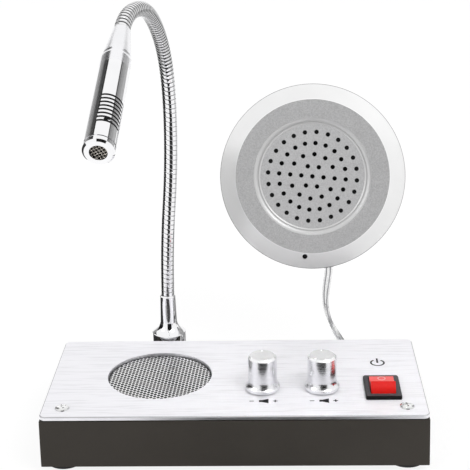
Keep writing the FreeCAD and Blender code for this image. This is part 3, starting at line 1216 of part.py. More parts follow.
os.makedirs("parts", exist_ok=True)
for item in parts:
    item.Shape.exportStep(os.path.join("parts", item.Label + ".step"))
print(len(parts), "sub-parts written")
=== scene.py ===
import json
import math

import bmesh
import bpy
from mathutils import Matrix, Vector


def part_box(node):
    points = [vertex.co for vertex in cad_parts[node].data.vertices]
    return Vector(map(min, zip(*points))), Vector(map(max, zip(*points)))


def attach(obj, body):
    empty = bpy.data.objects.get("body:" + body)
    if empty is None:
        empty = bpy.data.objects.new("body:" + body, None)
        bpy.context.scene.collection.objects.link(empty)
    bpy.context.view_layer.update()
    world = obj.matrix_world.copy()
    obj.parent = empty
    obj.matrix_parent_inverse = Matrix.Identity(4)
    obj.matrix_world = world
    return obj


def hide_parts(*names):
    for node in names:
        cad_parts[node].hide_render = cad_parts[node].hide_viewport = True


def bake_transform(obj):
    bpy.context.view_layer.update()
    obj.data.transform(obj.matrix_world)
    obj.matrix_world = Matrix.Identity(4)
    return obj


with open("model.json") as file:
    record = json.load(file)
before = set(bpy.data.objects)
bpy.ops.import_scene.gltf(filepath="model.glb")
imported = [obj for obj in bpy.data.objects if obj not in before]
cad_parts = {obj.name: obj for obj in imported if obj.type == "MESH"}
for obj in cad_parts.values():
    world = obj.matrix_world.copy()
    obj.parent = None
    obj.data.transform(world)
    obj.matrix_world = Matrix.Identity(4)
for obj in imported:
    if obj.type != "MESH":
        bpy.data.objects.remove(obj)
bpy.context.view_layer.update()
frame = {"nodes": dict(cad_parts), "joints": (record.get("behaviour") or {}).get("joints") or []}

# The teller window intercom: finishes for its solids, and the finer pieces that stand for some of them.

nodes = frame["nodes"]
joint_at = {joint["name"]: Vector(joint["pos_m"]) for joint in frame["joints"]}

# Places in mm: from the frame where it has them, and otherwise as the solids have them.
MM = 0.001
PLATE_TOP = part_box("top_panel")[1].z / MM
LEFT_X, RIGHT_X, SWITCH_X = (joint_at[name].x / MM for name in ("left_volume", "right_volume", "power_switch"))
SPEAKER_X, SPEAKER_Y = -33.2, 1.2
SCREW_X, SCREW_Y = 71.4, -29.5


def mm(x, y, z):
    """A place given in mm, in metres."""
    return Vector((x * MM, y * MM, z * MM))


def clamp(value):
    return min(1.0, max(0.0, value))


# The outer unit's seat and the way it faces.
OUTER_SEAT = mm(35.6, 72.45, 94.28)
OUTER_AXIS = Vector((-0.0301, -0.9563, 0.2907)).normalized()


# ---------------------------------------------------------------- materials

class Paint:
    """A Principled material with a few node shortcuts; every one gets its own procedural detail."""

    def __init__(self, name, colour, rough, metal=0.0, **inputs):
        self.mat = bpy.data.materials.new(name)
        self.mat.use_nodes = True
        self.tree = self.mat.node_tree
        self.shader = self.tree.nodes["Principled BSDF"]
        self.colour = colour
        self.shader.inputs["Base Color"].default_value = (*colour, 1)
        self.shader.inputs["Roughness"].default_value = rough
        self.shader.inputs["Metallic"].default_value = metal
        for key, value in inputs.items():
            self.shader.inputs[key.replace("_", " ")].default_value = value
        self.place = self.tree.nodes.new("ShaderNodeTexCoord").outputs["Object"]

    def node(self, kind, links=(), **settings):
        """A node with its settings, which are its own properties or values of its inputs, and its links."""
        node = self.tree.nodes.new("ShaderNode" + kind)
        for key, value in settings.items():
            if hasattr(node, key):
                setattr(node, key, value)
            else:
                node.inputs[key.replace("_", " ")].default_value = value
        for name, source in dict(links).items():
            self.tree.links.new(source, node.inputs[name])
        return node

    def calc(self, operation, *sources):
        return self.node("Math", dict(enumerate(sources)), operation=operation).outputs[0]

    def along(self, axis):
        """The place along one axis, in metres."""
        return self.node("SeparateXYZ", {"Vector": self.place}).outputs[axis]

    def upward(self):
        """1 where the surface faces up, 0 on a wall."""
        normal = self.node("NewGeometry").outputs["Normal"]
        return self.node("SeparateXYZ", {"Vector": normal}).outputs["Z"]

    def stretched(self, scale):
        """The place, scaled apart on each axis, so that noise draws out into streaks."""
        return self.node("Mapping", {"Vector": self.place}, Scale=scale).outputs[0]

    def noise(self, scale, vector=None, detail=3.0, rough=0.55):
        return self.node("TexNoise", {"Vector": vector or self.place}, Scale=scale, Detail=detail,
                         Roughness=rough).outputs["Fac"]

    def ramp(self, source, low, high, start=0.35, end=0.65):
        """From low to high as the source goes from start to end."""
        return self.node("MapRange", {"Value": source}, From_Min=start, From_Max=end,
                         To_Min=low, To_Max=high).outputs["Result"]

    def shade(self, source, dark, light=1.0, start=0.35, end=0.65, colour=None):
        """The colour, or the base colour, times a factor between dark and light."""
        ramp = self.node("ValToRGB", {"Fac": source})
        base = colour or self.colour
        for stop, position, factor in zip(ramp.color_ramp.elements, (start, end), (dark, light)):
            stop.position = position
            stop.color = (*[min(1, c * factor) for c in base], 1)
        return ramp.outputs["Color"]

    def blend(self, mask, first, second):
        """The first colour where the mask is 0 and the second where it is 1."""
        node = self.node("Mix", {0: mask, 6: first}, data_type="RGBA")
        if isinstance(second, tuple):
            node.inputs[7].default_value = (*second, 1)
        else:
            self.tree.links.new(second, node.inputs[7])
        return node.outputs[2]

    def to(self, name, source):
        self.tree.links.new(source, self.shader.inputs[name])

    def bump(self, height, distance, strength=1.0):
        node = self.node("Bump", {"Height": height}, Strength=strength, Distance=distance)
        self.to("Normal", node.outputs["Normal"])


def speckled(name, colour, rough, metal=0.0, scale=900.0, depth=0.00002, vary=0.08, flecks=False, **inputs):
    """A plain finish with a fine grain: a little colour and roughness variation and a fine bump."""
    paint = Paint(name, colour, rough, metal, **inputs)
    grain = paint.noise(scale)
    broad = paint.noise(35.0)
    paint.to("Base Color", paint.shade(grain if flecks else broad, 1 - vary, 1 + vary))
    paint.to("Roughness", paint.ramp(grain, rough * 0.85, rough * 1.15))
    paint.bump(grain, depth, 0.5)
    return paint


def brushed_plate():
    """Brushed along the case: bright on top, darker and more mirror-like on its walls, and painted darker on
    its chamfered edges as painted shade.
    """
    paint = Paint("brushed_plate", (0.93, 0.925, 0.96), 0.38, 0.35, Anisotropic=0.4)
    fine = paint.noise(1.0, paint.stretched((70, 2600, 400)), 4.0, 0.7)
    broad = paint.noise(1.0, paint.stretched((50, 900, 90)), 2.0, 0.6)
    streaks = paint.shade(paint.calc("ADD", fine, broad), 0.9, 1.03, 0.8, 1.2)
    upward = paint.upward()
    off_walls, off_top = paint.ramp(upward, 0, 1, 0.1, 0.3), paint.ramp(upward, 1, 0, 0.8, 0.95)
    # Painted shade: the chamfered edge's colour is darkened to about half.
    shaded_chamfer = paint.calc("MULTIPLY", off_walls, off_top)
    paint.to("Base Color", paint.blend(shaded_chamfer, streaks, paint.shade(broad, 0.5, 0.58)))
    paint.to("Metallic", paint.ramp(upward, 0.95, 0.2, 0.1, 0.3))
    paint.to("Roughness", paint.ramp(fine, 0.34, 0.46))
    paint.bump(fine, 0.000015, 0.35)
    return paint.mat


def turned_aluminium():
    """Fine turning marks round the knob, and a duller top painted paler as painted light."""
    paint = Paint("turned_aluminium", (0.84, 0.84, 0.86), 0.3, 1.0, Anisotropic=0.5)
    rings = paint.noise(1.0, paint.stretched((60, 60, 5200)), 2.0, 0.6)
    upward = paint.upward()
    side = paint.shade(rings, 0.95, 1.03)
    # Painted light: the top's colour is paler than the sides'.
    top = paint.shade(paint.noise(400.0), 0.93, 1.02, colour=(0.98, 0.98, 0.99))
    paint.to("Base Color", paint.blend(paint.ramp(upward, 0, 1, 0.6, 0.8), side, top))
    paint.to("Metallic", paint.ramp(upward, 1.0, 0.55, 0.6, 0.8))
    paint.to("Roughness", paint.ramp(rings, 0.16, 0.3))
    paint.to("Tangent", paint.node("Tangent", direction_type="RADIAL", axis="Z").outputs[0])
    paint.bump(rings, 0.000008, 0.4)
    return paint.mat


def chrome(name, colour, rough):
    """Bright plating with faint smears in its polish."""
    paint = Paint(name, colour, rough, 1.0)
    smear = paint.noise(60.0, None, 2.0)
    paint.to("Roughness", paint.ramp(smear, rough * 0.7, rough * 1.6))
    paint.to("Base Color", paint.shade(smear, 0.97, 1.02))
    paint.bump(paint.noise(240.0), 0.000002, 0.3)
    return paint.mat


def polished_screw():
    """A bright domed head, painted dark in its recess and where its edge meets the plate, as painted shade."""
    paint = Paint("polished_screw", (0.96, 0.96, 0.96), 0.14, 1.0)
    recess, dome = (PLATE_TOP + 0.3) * MM, (PLATE_TOP + 0.5) * MM
    # Painted shade: the colour darkens below the dome, in the cross recess and at the head's edge.
    paint.to("Base Color", paint.shade(paint.along("Z"), 0.06, 1.0, recess, dome))
    paint.to("Roughness", paint.ramp(paint.noise(400.0), 0.12, 0.18))
    paint.bump(paint.noise(900.0), 0.000002, 0.3)
    return paint.mat


def wound_hose():
    """Chromed strip, dull where neighbouring turns meet, and painted dark there as painted shade."""
    paint = Paint("chrome_hose", (0.91, 0.91, 0.92), 0.1, 1.0)
    height = paint.node("Attribute", attribute_name="height").outputs["Fac"]
    # Painted shade: the colour darkens towards each groove.
    paint.to("Base Color", paint.shade(height, 0.02, 1.0, 0.3, 0.88))
    paint.to("Roughness", paint.ramp(height, 0.3, 0.07, 0.1, 0.4))
    paint.bump(paint.noise(240.0), 0.000002, 0.3)
    return paint.mat


def outer_shell():
    """Silver paint: a bright satin rim and a darker, finely grained flat ring, with a line of painted light at
    each edge: painted shade at the rim's outer edge and on the bead, and a painted highlight at the ring's
    inner edge.
    """
    paint = Paint("silver_paint", (0.88, 0.88, 0.88), 0.36, 0.35)
    away = paint.node("VectorMath", {0: paint.place}, operation="SUBTRACT")
    away.inputs[1].default_value = OUTER_SEAT
    ahead = paint.node("VectorMath", {0: away.outputs[0]}, operation="DOT_PRODUCT")
    ahead.inputs[1].default_value = OUTER_AXIS
    far = paint.node("VectorMath", {0: away.outputs[0]}, operation="LENGTH").outputs["Value"]
    squares = [paint.calc("MULTIPLY", source, source) for source in (far, ahead.outputs["Value"])]
    radius = paint.calc("SQRT", paint.calc("SUBTRACT", *squares))

    # Each edge is a radius at which it starts and one at which it ends, in metres.
    ring_edge, bead_edge = (0.03578, 0.03592), (0.02725, 0.02745)
    painted_shade_rim_edge, painted_highlight_edge, painted_shade_bead_edge = (0.04318, 0.04326), (0.03595, 0.03635), (0.02735, 0.02745)
    in_ring = paint.ramp(radius, 1.0, 0.0, *ring_edge)
    past_bead = paint.ramp(radius, 0.0, 1.0, *bead_edge)
    grain = paint.noise(1600.0, None, 2.0)
    rim = paint.shade(paint.noise(30.0), 0.97, 1.03)
    # Lines painted into the rim's colour: painted shade at the outer edge, a painted highlight at the ring's
    # inner edge, painted shade on the bead.
    for tone, inside, outside, edge in (
        (0.4, 0.0, 1.0, painted_shade_rim_edge), (1.0, 1.0, 0.0, painted_highlight_edge), (0.62, 1.0, 0.0, painted_shade_bead_edge),
    ):
        rim = paint.blend(paint.ramp(radius, inside, outside, *edge), rim, (tone, tone, tone))
    flat = paint.shade(grain, 0.88, 1.08, colour=(0.588, 0.588, 0.592))
    paint.to("Base Color", paint.blend(paint.calc("MULTIPLY", in_ring, past_bead), rim, flat))
    paint.to("Roughness", paint.ramp(grain, 0.3, 0.45))
    paint.bump(grain, 0.00001, 0.3)
    return paint.mat


def woven_wire():
    """Bright wire of a warm tone that changes slightly along it."""
    paint = Paint("mic_wire", (0.78, 0.73, 0.66), 0.3, 1.0)
    grain = paint.noise(3000.0)
    paint.to("Base Color", paint.shade(grain, 0.85, 1.1))
    paint.to("Roughness", paint.ramp(grain, 0.22, 0.4))
    return paint.mat


def clear_lead():
    """A clear jacket over tinned strands: pale, glossy, with the strands' lay showing through."""
    paint = Paint("clear_lead", (0.93, 0.93, 0.93), 0.1, 0.0, Coat_Weight=0.3, Coat_Roughness=0.05,
                  Transmission_Weight=0.95, IOR=1.3)
    wires = paint.noise(1.0, paint.stretched((900, 900, 160)), 1.0, 0.5)
    paint.to("Base Color", paint.shade(wires, 0.88, 1.06))
    paint.to("Roughness", paint.ramp(wires, 0.06, 0.16))
    paint.bump(wires, 0.00001, 0.3)
    return paint.mat


def perforated_sheet():
    """Bright on top; the holes' walls, the underside and the sunken rim are painted near black as painted
    shade.
    """
    paint = Paint("grille_metal", (0.98, 0.98, 0.985), 0.3, 1.0)
    below_face, at_face = 0.02456, 0.02469
    grain = paint.noise(1200.0)
    face = paint.ramp(paint.along("Z"), 0.0, 1.0, below_face, at_face)
    # Painted shade: everything below the top face is coloured near black.
    wall = paint.shade(grain, 0.9, 1.05, colour=(0.04, 0.04, 0.04))
    paint.to("Base Color", paint.blend(face, wall, paint.shade(grain, 0.94, 1.04)))
    paint.to("Roughness", paint.ramp(grain, 0.26, 0.36))
    paint.bump(grain, 0.00001, 0.5)
    return paint.mat


def switch_plastic():
    """Black plastic, dull grey on top, and painted deep black on the frame's sides as painted shade."""
    paint = speckled("switch_black", (0.062, 0.06, 0.066), 0.34, scale=2200, depth=0.00001,
                     Specular_IOR_Level=0.12)
    # Painted shade: the sides and slopes are coloured far darker than the top.
    paint.to("Base Color", paint.shade(paint.upward(), 0.03, 1.0, 0.8, 0.95))
    return paint.mat


def rocker_plastic():
    """Translucent red: deep on the half that faces the teller, and painted paler on the level half as a
    painted reflection.
    """
    paint = Paint("rocker_red", (0.72, 0.006, 0.003), 0.32, 0.0, Specular_IOR_Level=0.25,
                  Coat_Weight=0.08, Coat_Roughness=0.1)
    grain = paint.noise(1500.0)
    front_ends, rear_starts = -0.0140, -0.0128
    # Painted reflection: the level rear half is coloured a paler red.
    rear = paint.ramp(paint.along("Y"), 0.0, 1.0, front_ends, rear_starts)
    pale = paint.shade(grain, 0.97, 1.03, colour=(0.9, 0.13, 0.12))
    paint.to("Base Color", paint.blend(rear, paint.shade(grain, 0.97, 1.03), pale))
    paint.bump(grain, 0.000004, 0.5)
    return paint.mat


silver = outer_shell()
plate_metal = brushed_plate()
knob_metal = turned_aluminium()
hose_metal = wound_hose()
chrome_metal = chrome("chrome_plate", (0.93, 0.93, 0.94), 0.05)
satin_metal = chrome("satin_chrome", (0.91, 0.91, 0.93), 0.13)
screw_metal = polished_screw()
wire_metal = woven_wire()
lead_skin = clear_lead()
core_wire = speckled("tinned_wire", (0.5, 0.5, 0.52), 0.35, 0.9, scale=3000, depth=0.00001, vary=0.15).mat
housing = speckled("dark_housing", (0.042, 0.0365, 0.0305), 0.75, scale=2400, depth=0.00003, vary=0.05,
                   Specular_IOR_Level=0.3).mat
steel = speckled("bright_steel", (0.72, 0.72, 0.73), 0.25, 1.0, scale=700, depth=0.000005).mat
rubber = speckled("black_rubber", (0.02, 0.02, 0.02), 0.75, scale=1500, depth=0.00003).mat
grille_metal = perforated_sheet()
pressed = speckled("pressed_steel", (0.16, 0.16, 0.17), 0.45, 0.8, scale=500).mat
paper = speckled("speaker_paper", (0.012, 0.012, 0.012), 0.9, scale=1400, depth=0.00008).mat
iron = speckled("magnet_iron", (0.06, 0.06, 0.065), 0.5, 0.5, scale=800).mat
moulding = speckled("black_plastic", (0.012, 0.012, 0.013), 0.45, scale=1800).mat
control = speckled("control_case", (0.03, 0.05, 0.09), 0.5, scale=1500).mat
brass = speckled("brass_fitting", (0.72, 0.5, 0.2), 0.3, 1.0, scale=800, depth=0.000006).mat
switch_skin = switch_plastic()
red = rocker_plastic()
board_green = speckled("board_laminate", (0.02, 0.12, 0.05), 0.4, scale=600).mat
can = speckled("capacitor_sleeve", (0.03, 0.04, 0.12), 0.35, scale=700).mat
foam = speckled("mic_foam", (0.004, 0.004, 0.004), 0.95, scale=2600, depth=0.00015).mat
disc_paint = speckled("disc_paint", (0.598, 0.598, 0.603), 0.4, 0.3, scale=1700, depth=0.000012, vary=0.1,
                      flecks=True).mat
tape = speckled("pad_foam", (0.55, 0.55, 0.54), 0.9, scale=1800, depth=0.00008).mat
tie_strap = speckled("tie_strap", (0.02, 0.02, 0.02), 0.6, scale=1200).mat
ink = speckled("sign_ink", (0.005, 0.005, 0.006), 0.5, scale=2500, depth=0.000003, Specular_IOR_Level=0.1).mat
pale_ink = speckled("rocker_ink", (0.85, 0.42, 0.4), 0.35, scale=2500, depth=0.000003).mat
shell_back = speckled("silver_back", (0.60, 0.60, 0.60), 0.42, 0.3, scale=3200, depth=0.00001).mat

# What each solid is made of. Those not listed are replaced by pieces further down.
FINISH = {
    "base_housing": housing, "top_panel": plate_metal, "rear_tongues": steel, "rubber_feet": rubber,
    "foot_screws": steel, "speaker_basket": pressed, "speaker_cone": paper, "speaker_magnet": iron,
    "speaker_clamps": moulding, "volume_control_left": control, "volume_control_right": control,
    "control_nuts": steel, "control_shaft_left": brass, "control_shaft_right": brass,
    "knob_left": knob_metal, "knob_right": knob_metal, "switch_body": switch_skin, "rocker": red,
    "switch_terminals": brass, "main_circuit_board": board_green, "board_screws": steel,
    "electrolytic_capacitors": can, "amplifier_chips": moulding, "power_socket": moulding,
    "lead_socket": moulding, "lead_socket_nut": steel, "neck_bracket": housing, "bracket_screws": steel,
    "neck_flange": chrome_metal, "neck_nut": steel, "mic_tail": satin_metal, "mic_barrel": chrome_metal,
    "mic_front_ring": chrome_metal, "mic_windscreen": foam, "mic_capsule": steel, "outer_front": silver,
    "outer_back": shell_back, "outer_screws": steel, "adhesive_pad": tape, "outer_grille": disc_paint,
    "outer_speaker_basket": pressed, "outer_speaker_cone": paper, "outer_speaker_magnet": iron,
    "outer_mic_capsule": moulding, "cord_grommet": moulding, "cord_plug": moulding, "cord_tie": tie_strap,
}
for name, mat in FINISH.items():
    data = nodes[name].data
    data.materials.clear()
    data.materials.append(mat)


# ---------------------------------------------------------------- mesh helpers

def piece(name, verts, faces, mat, body="desk_unit", slot=None, replaces=(), smooth=None):
    """An object of these faces that rides on a body; edges sharper than smooth, in degrees, stay sharp."""
    data = bpy.data.meshes.new(name)
    data.from_pydata([tuple(v) for v in verts], [], faces)
    data.materials.append(mat)
    mesh = bmesh.new()
    mesh.from_mesh(data)
    bmesh.ops.remove_doubles(mesh, verts=mesh.verts, dist=1e-6)
    bmesh.ops.recalc_face_normals(mesh, faces=mesh.faces)
    mesh.to_mesh(data)
    mesh.free()
    if smooth is not None:
        data.shade_smooth()
        if smooth < 180:
            data.set_sharp_from_angle(angle=math.radians(smooth))
    item = bpy.data.objects.new(name, data)
    bpy.context.scene.collection.objects.link(item)
    if body:
        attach(item, body)
    if replaces:
        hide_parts(*replaces)
    return item


def circle(sides):
    """Angles of evenly spaced points round a circle."""
    return [2 * math.pi * i / sides for i in range(sides)]


def ring_about(centre, u, v, radii):
    """Points round a centre in the plane of u and v, one for each radius."""
    return [centre + (u * math.cos(a) + v * math.sin(a)) * r for a, r in zip(circle(len(radii)), radii)]


def square_to(ahead, up):
    """The up direction set square to the way ahead; carried on along a line, it doesn't twist."""
    return (up - ahead * up.dot(ahead)).normalized()


def loft(rings, caps=True):
    """Faces that join closed rings of points, each ring as long as the next."""
    verts = [p for ring in rings for p in ring]
    count, faces = len(rings[0]), []
    for level in range(len(rings) - 1):
        for index in range(count):
            a, b = level * count + index, level * count + (index + 1) % count
            faces.append((a, b, b + count, a + count))
    if caps:
        faces.append(tuple(reversed(range(count))))
        faces.append(tuple((len(rings) - 1) * count + i for i in range(count)))
    return verts, faces


def add(verts, faces, more_verts, more_faces):
    """Add one shape's points and faces to another's."""
    base = len(verts)
    verts += more_verts
    faces += [tuple(base + i for i in face) for face in more_faces]


# ---------------------------------------------------------------- loudspeaker grille

def speaker_grille():
    """Perforated sheet: staggered round holes, its rows a little out of line with the case."""
    pitch, hole, turn = 1.79, 0.74, math.radians(-2.6)
    reach, top, underside = 23.3, 24.7, 24.4
    fall_from, fall_over, fall_by = 22.0, 0.7, 0.32
    columns, rows = 17, 16
    step, side = pitch * math.sqrt(3) / 2, pitch / math.sqrt(3)
    c, s = math.cos(turn), math.sin(turn)
    verts, faces, known = [], [], {}

    def point(x, y, upper):
        """The index of a point of the sheet, which falls away at its rim; neighbours share their points."""
        key = (round(x, 3), round(y, 3), upper)
        if key not in known:
            fall = clamp((math.hypot(x, y) - fall_from) / fall_over) * fall_by
            known[key] = len(verts)
            verts.append(mm(SPEAKER_X + x * c - y * s, SPEAKER_Y + x * s + y * c,
                            (top if upper else underside) - fall))
        return known[key]

    for column in range(-columns, columns + 1):
        for row in range(-rows, rows + 1):
            x, y = column * step, (row + 0.5 * (column % 2)) * pitch
            if math.hypot(x, y) > reach:
                continue
            corners = [(x + side * math.cos(a), y + side * math.sin(a)) for a in circle(6)]
            cell = []
            for (ax, ay), (bx, by) in zip(corners, corners[1:] + corners[:1]):
                cell += [(ax, ay), ((ax + bx) / 2, (ay + by) / 2)]
            ring = [(x + hole * math.cos(a), y + hole * math.sin(a)) for a in circle(len(cell))]
            for k in range(len(cell)):
                n = (k + 1) % len(cell)
                for upper in (True, False):
                    faces.append((point(*cell[k], upper), point(*cell[n], upper),
                                  point(*ring[n], upper), point(*ring[k], upper)))
                faces.append((point(*ring[k], True), point(*ring[n], True),
                              point(*ring[n], False), point(*ring[k], False)))
    piece("speaker_grille_sheet", verts, faces, grille_metal, slot="grille_metal", replaces=["speaker_grille"])

    inside, outside, low, high = 23.2, 24.55, 23.65, 24.4
    section = [(inside, low), (outside, low), (outside, high), (inside, high), (inside, low)]
    rings = [[mm(SPEAKER_X + r * math.cos(a), SPEAKER_Y + r * math.sin(a), z) for a in circle(96)]
             for r, z in section]
    # It lies wholly below the sheet's top face, so its colour is the near-black painted shade.
    piece("speaker_grille_rim", *loft(rings, caps=False), grille_metal, slot="grille_metal")


speaker_grille()


# ---------------------------------------------------------------- gooseneck

FOOT = Vector((-32.6, 46.4, 33.5))
MIC_AXIS = Vector((-0.0296, -0.9104, -0.4127)).normalized()
MIC_START = FOOT + Vector((-4.84, -85.62, 150.59))

# The links' joints, and the line's corners: each joint is halfway between two corners.
JOINTS = [joint_at["neck_bend_%d" % i] / MM for i in range(1, 7)]
BENDS = [FOOT + Vector((0, 0, 15))]
for joint in JOINTS:
    BENDS.append(2 * joint - BENDS[-1])


def neck_line():
    """The gooseneck's centre line in fine steps, the length at each, and the lengths at which links meet."""
    steps, tail, overrun = 400, 11, 0.5
    last = MIC_START - MIC_AXIS * tail
    ends = [FOOT, *JOINTS, (BENDS[-1] + last) / 2, MIC_START]
    points, marks = [], []
    for start, corner, end in zip(ends, [*BENDS, last], ends[1:]):
        for i in range(steps):
            t = i / steps
            points.append(start * (1 - t) ** 2 + corner * 2 * t * (1 - t) + end * t * t)
        marks.append(len(points) - 1)
    points += [MIC_START, MIC_START + MIC_AXIS * overrun]
    lengths = [0.0]
    for a, b in zip(points, points[1:]):
        lengths.append(lengths[-1] + (b - a).length)
    return points, lengths, [lengths[mark] for mark in marks[:len(JOINTS)]]


def ridge(phase, openness):
    """Height of the wound strip's gently domed back, from 0 in the groove to 1; bends open the grooves."""
    narrow, wide = 12, 2.1
    return 1 - abs(2 * (phase % 1.0) - 1) ** (narrow + (wide - narrow) * openness)


def gooseneck():
    """The strip wound over the links, in six stretches, one round each joint."""
    points, lengths, meetings = neck_line()
    pitch, step, sides, radius, groove = 2.2, 0.11, 36, 3.1, 0.2
    bend_from, bend_over, bend_reach = 100, 25, 7
    total = lengths[-1]
    rings, ridges, runs, at, up = [], [], [], 0, Vector((0, 1, 0))
    for k in range(int(total / step) + 1):
        run = min(k * step, total)
        while at < len(lengths) - 2 and lengths[at + 1] < run:
            at += 1
        centre = points[at].lerp(points[at + 1], (run - lengths[at]) / (lengths[at + 1] - lengths[at]))
        ahead = (points[min(at + 3, len(points) - 1)] - points[max(at - 2, 0)]).normalized()
        up = square_to(ahead, up)
        openness = clamp((run - bend_from) / bend_over)
        heights = [ridge(run / pitch + i / sides, openness) for i in range(sides)]
        depth = groove * (1 + 0.4 * openness)
        radii = [radius - depth * (1 - height) for height in heights]
        rings.append([mm(*p) for p in ring_about(centre, up, ahead.cross(up), radii)])
        ridges.append(heights)
        runs.append(run)
    middles = [0.0, *[(a + b) / 2 for a, b in zip(meetings, meetings[1:])], total]
    nearest = [min(range(len(runs)), key=lambda i: abs(runs[i] - middle)) for middle in middles]
    for k, (low, high) in enumerate(zip(nearest, nearest[1:])):
        item = piece("gooseneck_hose_%d" % (k + 1), *loft(rings[low:high + 1]), hose_metal, body=None,
                     slot="chrome_hose", smooth=180)
        height = item.data.attributes.new("height", "FLOAT", "POINT")
        height.data.foreach_set("value", sum(ridges[low:high + 1], []))
        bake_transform(item)
        names = ["gooseneck_link_%d" % (k + 1)] + (["gooseneck_link_0"] if k == 0 else [])
        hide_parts(*names)


gooseneck()


# ---------------------------------------------------------------- microphone mesh

MIC_TURN = Vector((0, 0, 1)).rotation_difference(MIC_AXIS).to_matrix().to_4x4()
MIC_SEAT = Matrix.Translation(MIC_START * MM) @ MIC_TURN


def mic_mesh():
    """Woven wire behind the front ring: two sets of wires that pass over and under each other."""
    pitch, wire, swing, reach, height = 1.1, 0.13, 0.11, 3.9, 67.2
    shift, steps, sides = 0.15, 60, 8
    turn = Matrix.Rotation(math.radians(24), 3, "Z")
    x, y, z = Vector((1, 0, 0)), Vector((0, 1, 0)), Vector((0, 0, 1))
    verts, faces = [], []
    for way, (along, aside) in enumerate(((x, y), (y, x))):
        for index in range(-3, 4):
            off = (index + shift) * pitch
            half = math.sqrt(reach ** 2 - off ** 2)
            over = swing if (index + way) % 2 else -swing
            rings = []
            for k in range(steps + 1):
                t = -half + 2 * half * k / steps
                level = height + over * math.cos(math.pi * (t / pitch - shift))
                rings.append(ring_about(along * t + aside * off + z * level, aside, z, [wire] * sides))
            new, quads = loft(rings)
            add(verts, faces, [MIC_SEAT @ ((turn @ p) * MM) for p in new], quads)
    piece("mic_woven_mesh", verts, faces, wire_metal, "neck_6", "mic_mesh_wire", ["mic_mesh"], smooth=180)


mic_mesh()


# ---------------------------------------------------------------- panel screws

def cross_screw(x, turn):
    """A domed head with a cross recess, on a fine disc grid."""
    radius, dome, arm, half_width = 3.05, 1.1, 1.75, 0.36
    arm_slope, side_slope, depth, taper, skirt = 0.22, 0.16, 0.95, 0.25, 0.02
    rings, sides = 26, 120
    c, s = math.cos(turn), math.sin(turn)
    levels = []
    for ring in range(1, rings + 1):
        r = radius * ring / rings
        high = dome * math.sqrt(1 - (r / radius) ** 2 * 0.93) if ring < rings else 0.0
        level = []
        for a in circle(sides):
            px, py = r * math.cos(a), r * math.sin(a)
            u, v = abs(px * c + py * s), abs(-px * s + py * c)
            inside = max(min((arm - u) / arm_slope, (half_width - v) / side_slope),
                         min((arm - v) / arm_slope, (half_width - u) / side_slope))
            cut = clamp(inside) * (depth - taper * max(u, v))
            level.append(mm(x + px, SCREW_Y + py, PLATE_TOP + max(high - cut, -skirt)))
        levels.append(level)
    foot = radius * 0.99
    levels.append([mm(x + foot * math.cos(a), SCREW_Y + foot * math.sin(a), PLATE_TOP - skirt)
                   for a in circle(sides)])
    verts, faces = loft(levels, caps=False)
    middle = len(verts)
    verts.append(mm(x, SCREW_Y, PLATE_TOP))
    faces += [(middle, i, (i + 1) % sides) for i in range(sides)]
    faces.append(tuple(range(middle - sides, middle)))
    return verts, faces


for label, x, turn, replaced in (("left", -SCREW_X, 0.5, ["panel_screws"]), ("right", SCREW_X, 0.15, [])):
    piece("panel_screw_" + label, *cross_screw(x, turn), screw_metal, slot="bright_steel", replaces=replaced,
          smooth=35)


# ---------------------------------------------------------------- printed signs

def sign(name, shapes, z, mat, body="desk_unit", seat=Matrix()):
    """Flat printed shapes, a hair above the surface that they are printed on."""
    thick, verts, faces = 0.03, [], []
    for shape in shapes:
        add(verts, faces, *loft([[seat @ mm(x, y, level) for x, y in shape] for level in (z, z + thick)]))
    piece(name, verts, faces, mat, body)


def bar(x0, y0, x1, y1):
    return [(x0, y0), (x1, y0), (x1, y1), (x0, y1)]


def arc_band(x, y, radius, width, first, last, steps=40):
    """Quads of a ring or part of one, between two bearings in degrees."""
    bearings = [math.radians(first + (last - first) * i / steps) for i in range(steps + 1)]
    inner, outer = ([(x + r * math.cos(a), y + r * math.sin(a)) for a in bearings]
                    for r in (radius - width / 2, radius + width / 2))
    return [[inner[i], outer[i], outer[i + 1], inner[i + 1]] for i in range(steps)]


def volume_sign(x, y):
    """A minus, a small loudspeaker and a plus."""
    horn = [(x - 1.5, y - 0.85), (x - 0.2, y - 0.85), (x + 2.5, y - 2.0), (x + 2.5, y + 2.0),
            (x - 0.2, y + 0.85), (x - 1.5, y + 0.85)]
    minus = bar(x - 5.5, y - 0.25, x - 3.6, y + 0.25)
    plus = [bar(x + 4.3, y - 0.3, x + 6.3, y + 0.3), bar(x + 5.0, y - 1.0, x + 5.6, y + 1.0)]
    return [horn, minus, *plus]


def power_sign(x, y):
    """An open ring with a bar in its gap."""
    return arc_band(x, y, 2.9, 0.75, 122, 418) + [bar(x - 0.4, y - 0.2, x + 0.4, y + 4.4)]


VOLUME_SIGN_Y, POWER_SIGN_Y = -24.1, 12.2
sign("volume_sign_left", volume_sign(LEFT_X, VOLUME_SIGN_Y), PLATE_TOP, ink)
sign("volume_sign_right", volume_sign(RIGHT_X, VOLUME_SIGN_Y), PLATE_TOP, ink)
sign("power_sign", power_sign(SWITCH_X, POWER_SIGN_Y), PLATE_TOP, ink)

# The rocker's rear half is level at rest, and its front half slopes.
REAR_Y, REAR_TOP = -8.9, 28.67
FRONT_Y, FRONT_TOP, SLOPE = -14.8, 30.03, math.radians(-30)
front_half = Matrix.Translation(mm(SWITCH_X, FRONT_Y, FRONT_TOP)) @ Matrix.Rotation(SLOPE, 4, "X")
sign("rocker_off_mark", arc_band(SWITCH_X, REAR_Y, 1.5, 0.5, 0, 360), REAR_TOP, pale_ink, "power_rocker")
sign("rocker_on_mark", [bar(-0.25, -1.7, 0.25, 1.7)], 0, pale_ink, "power_rocker", front_half)


# ---------------------------------------------------------------- outer unit's lead

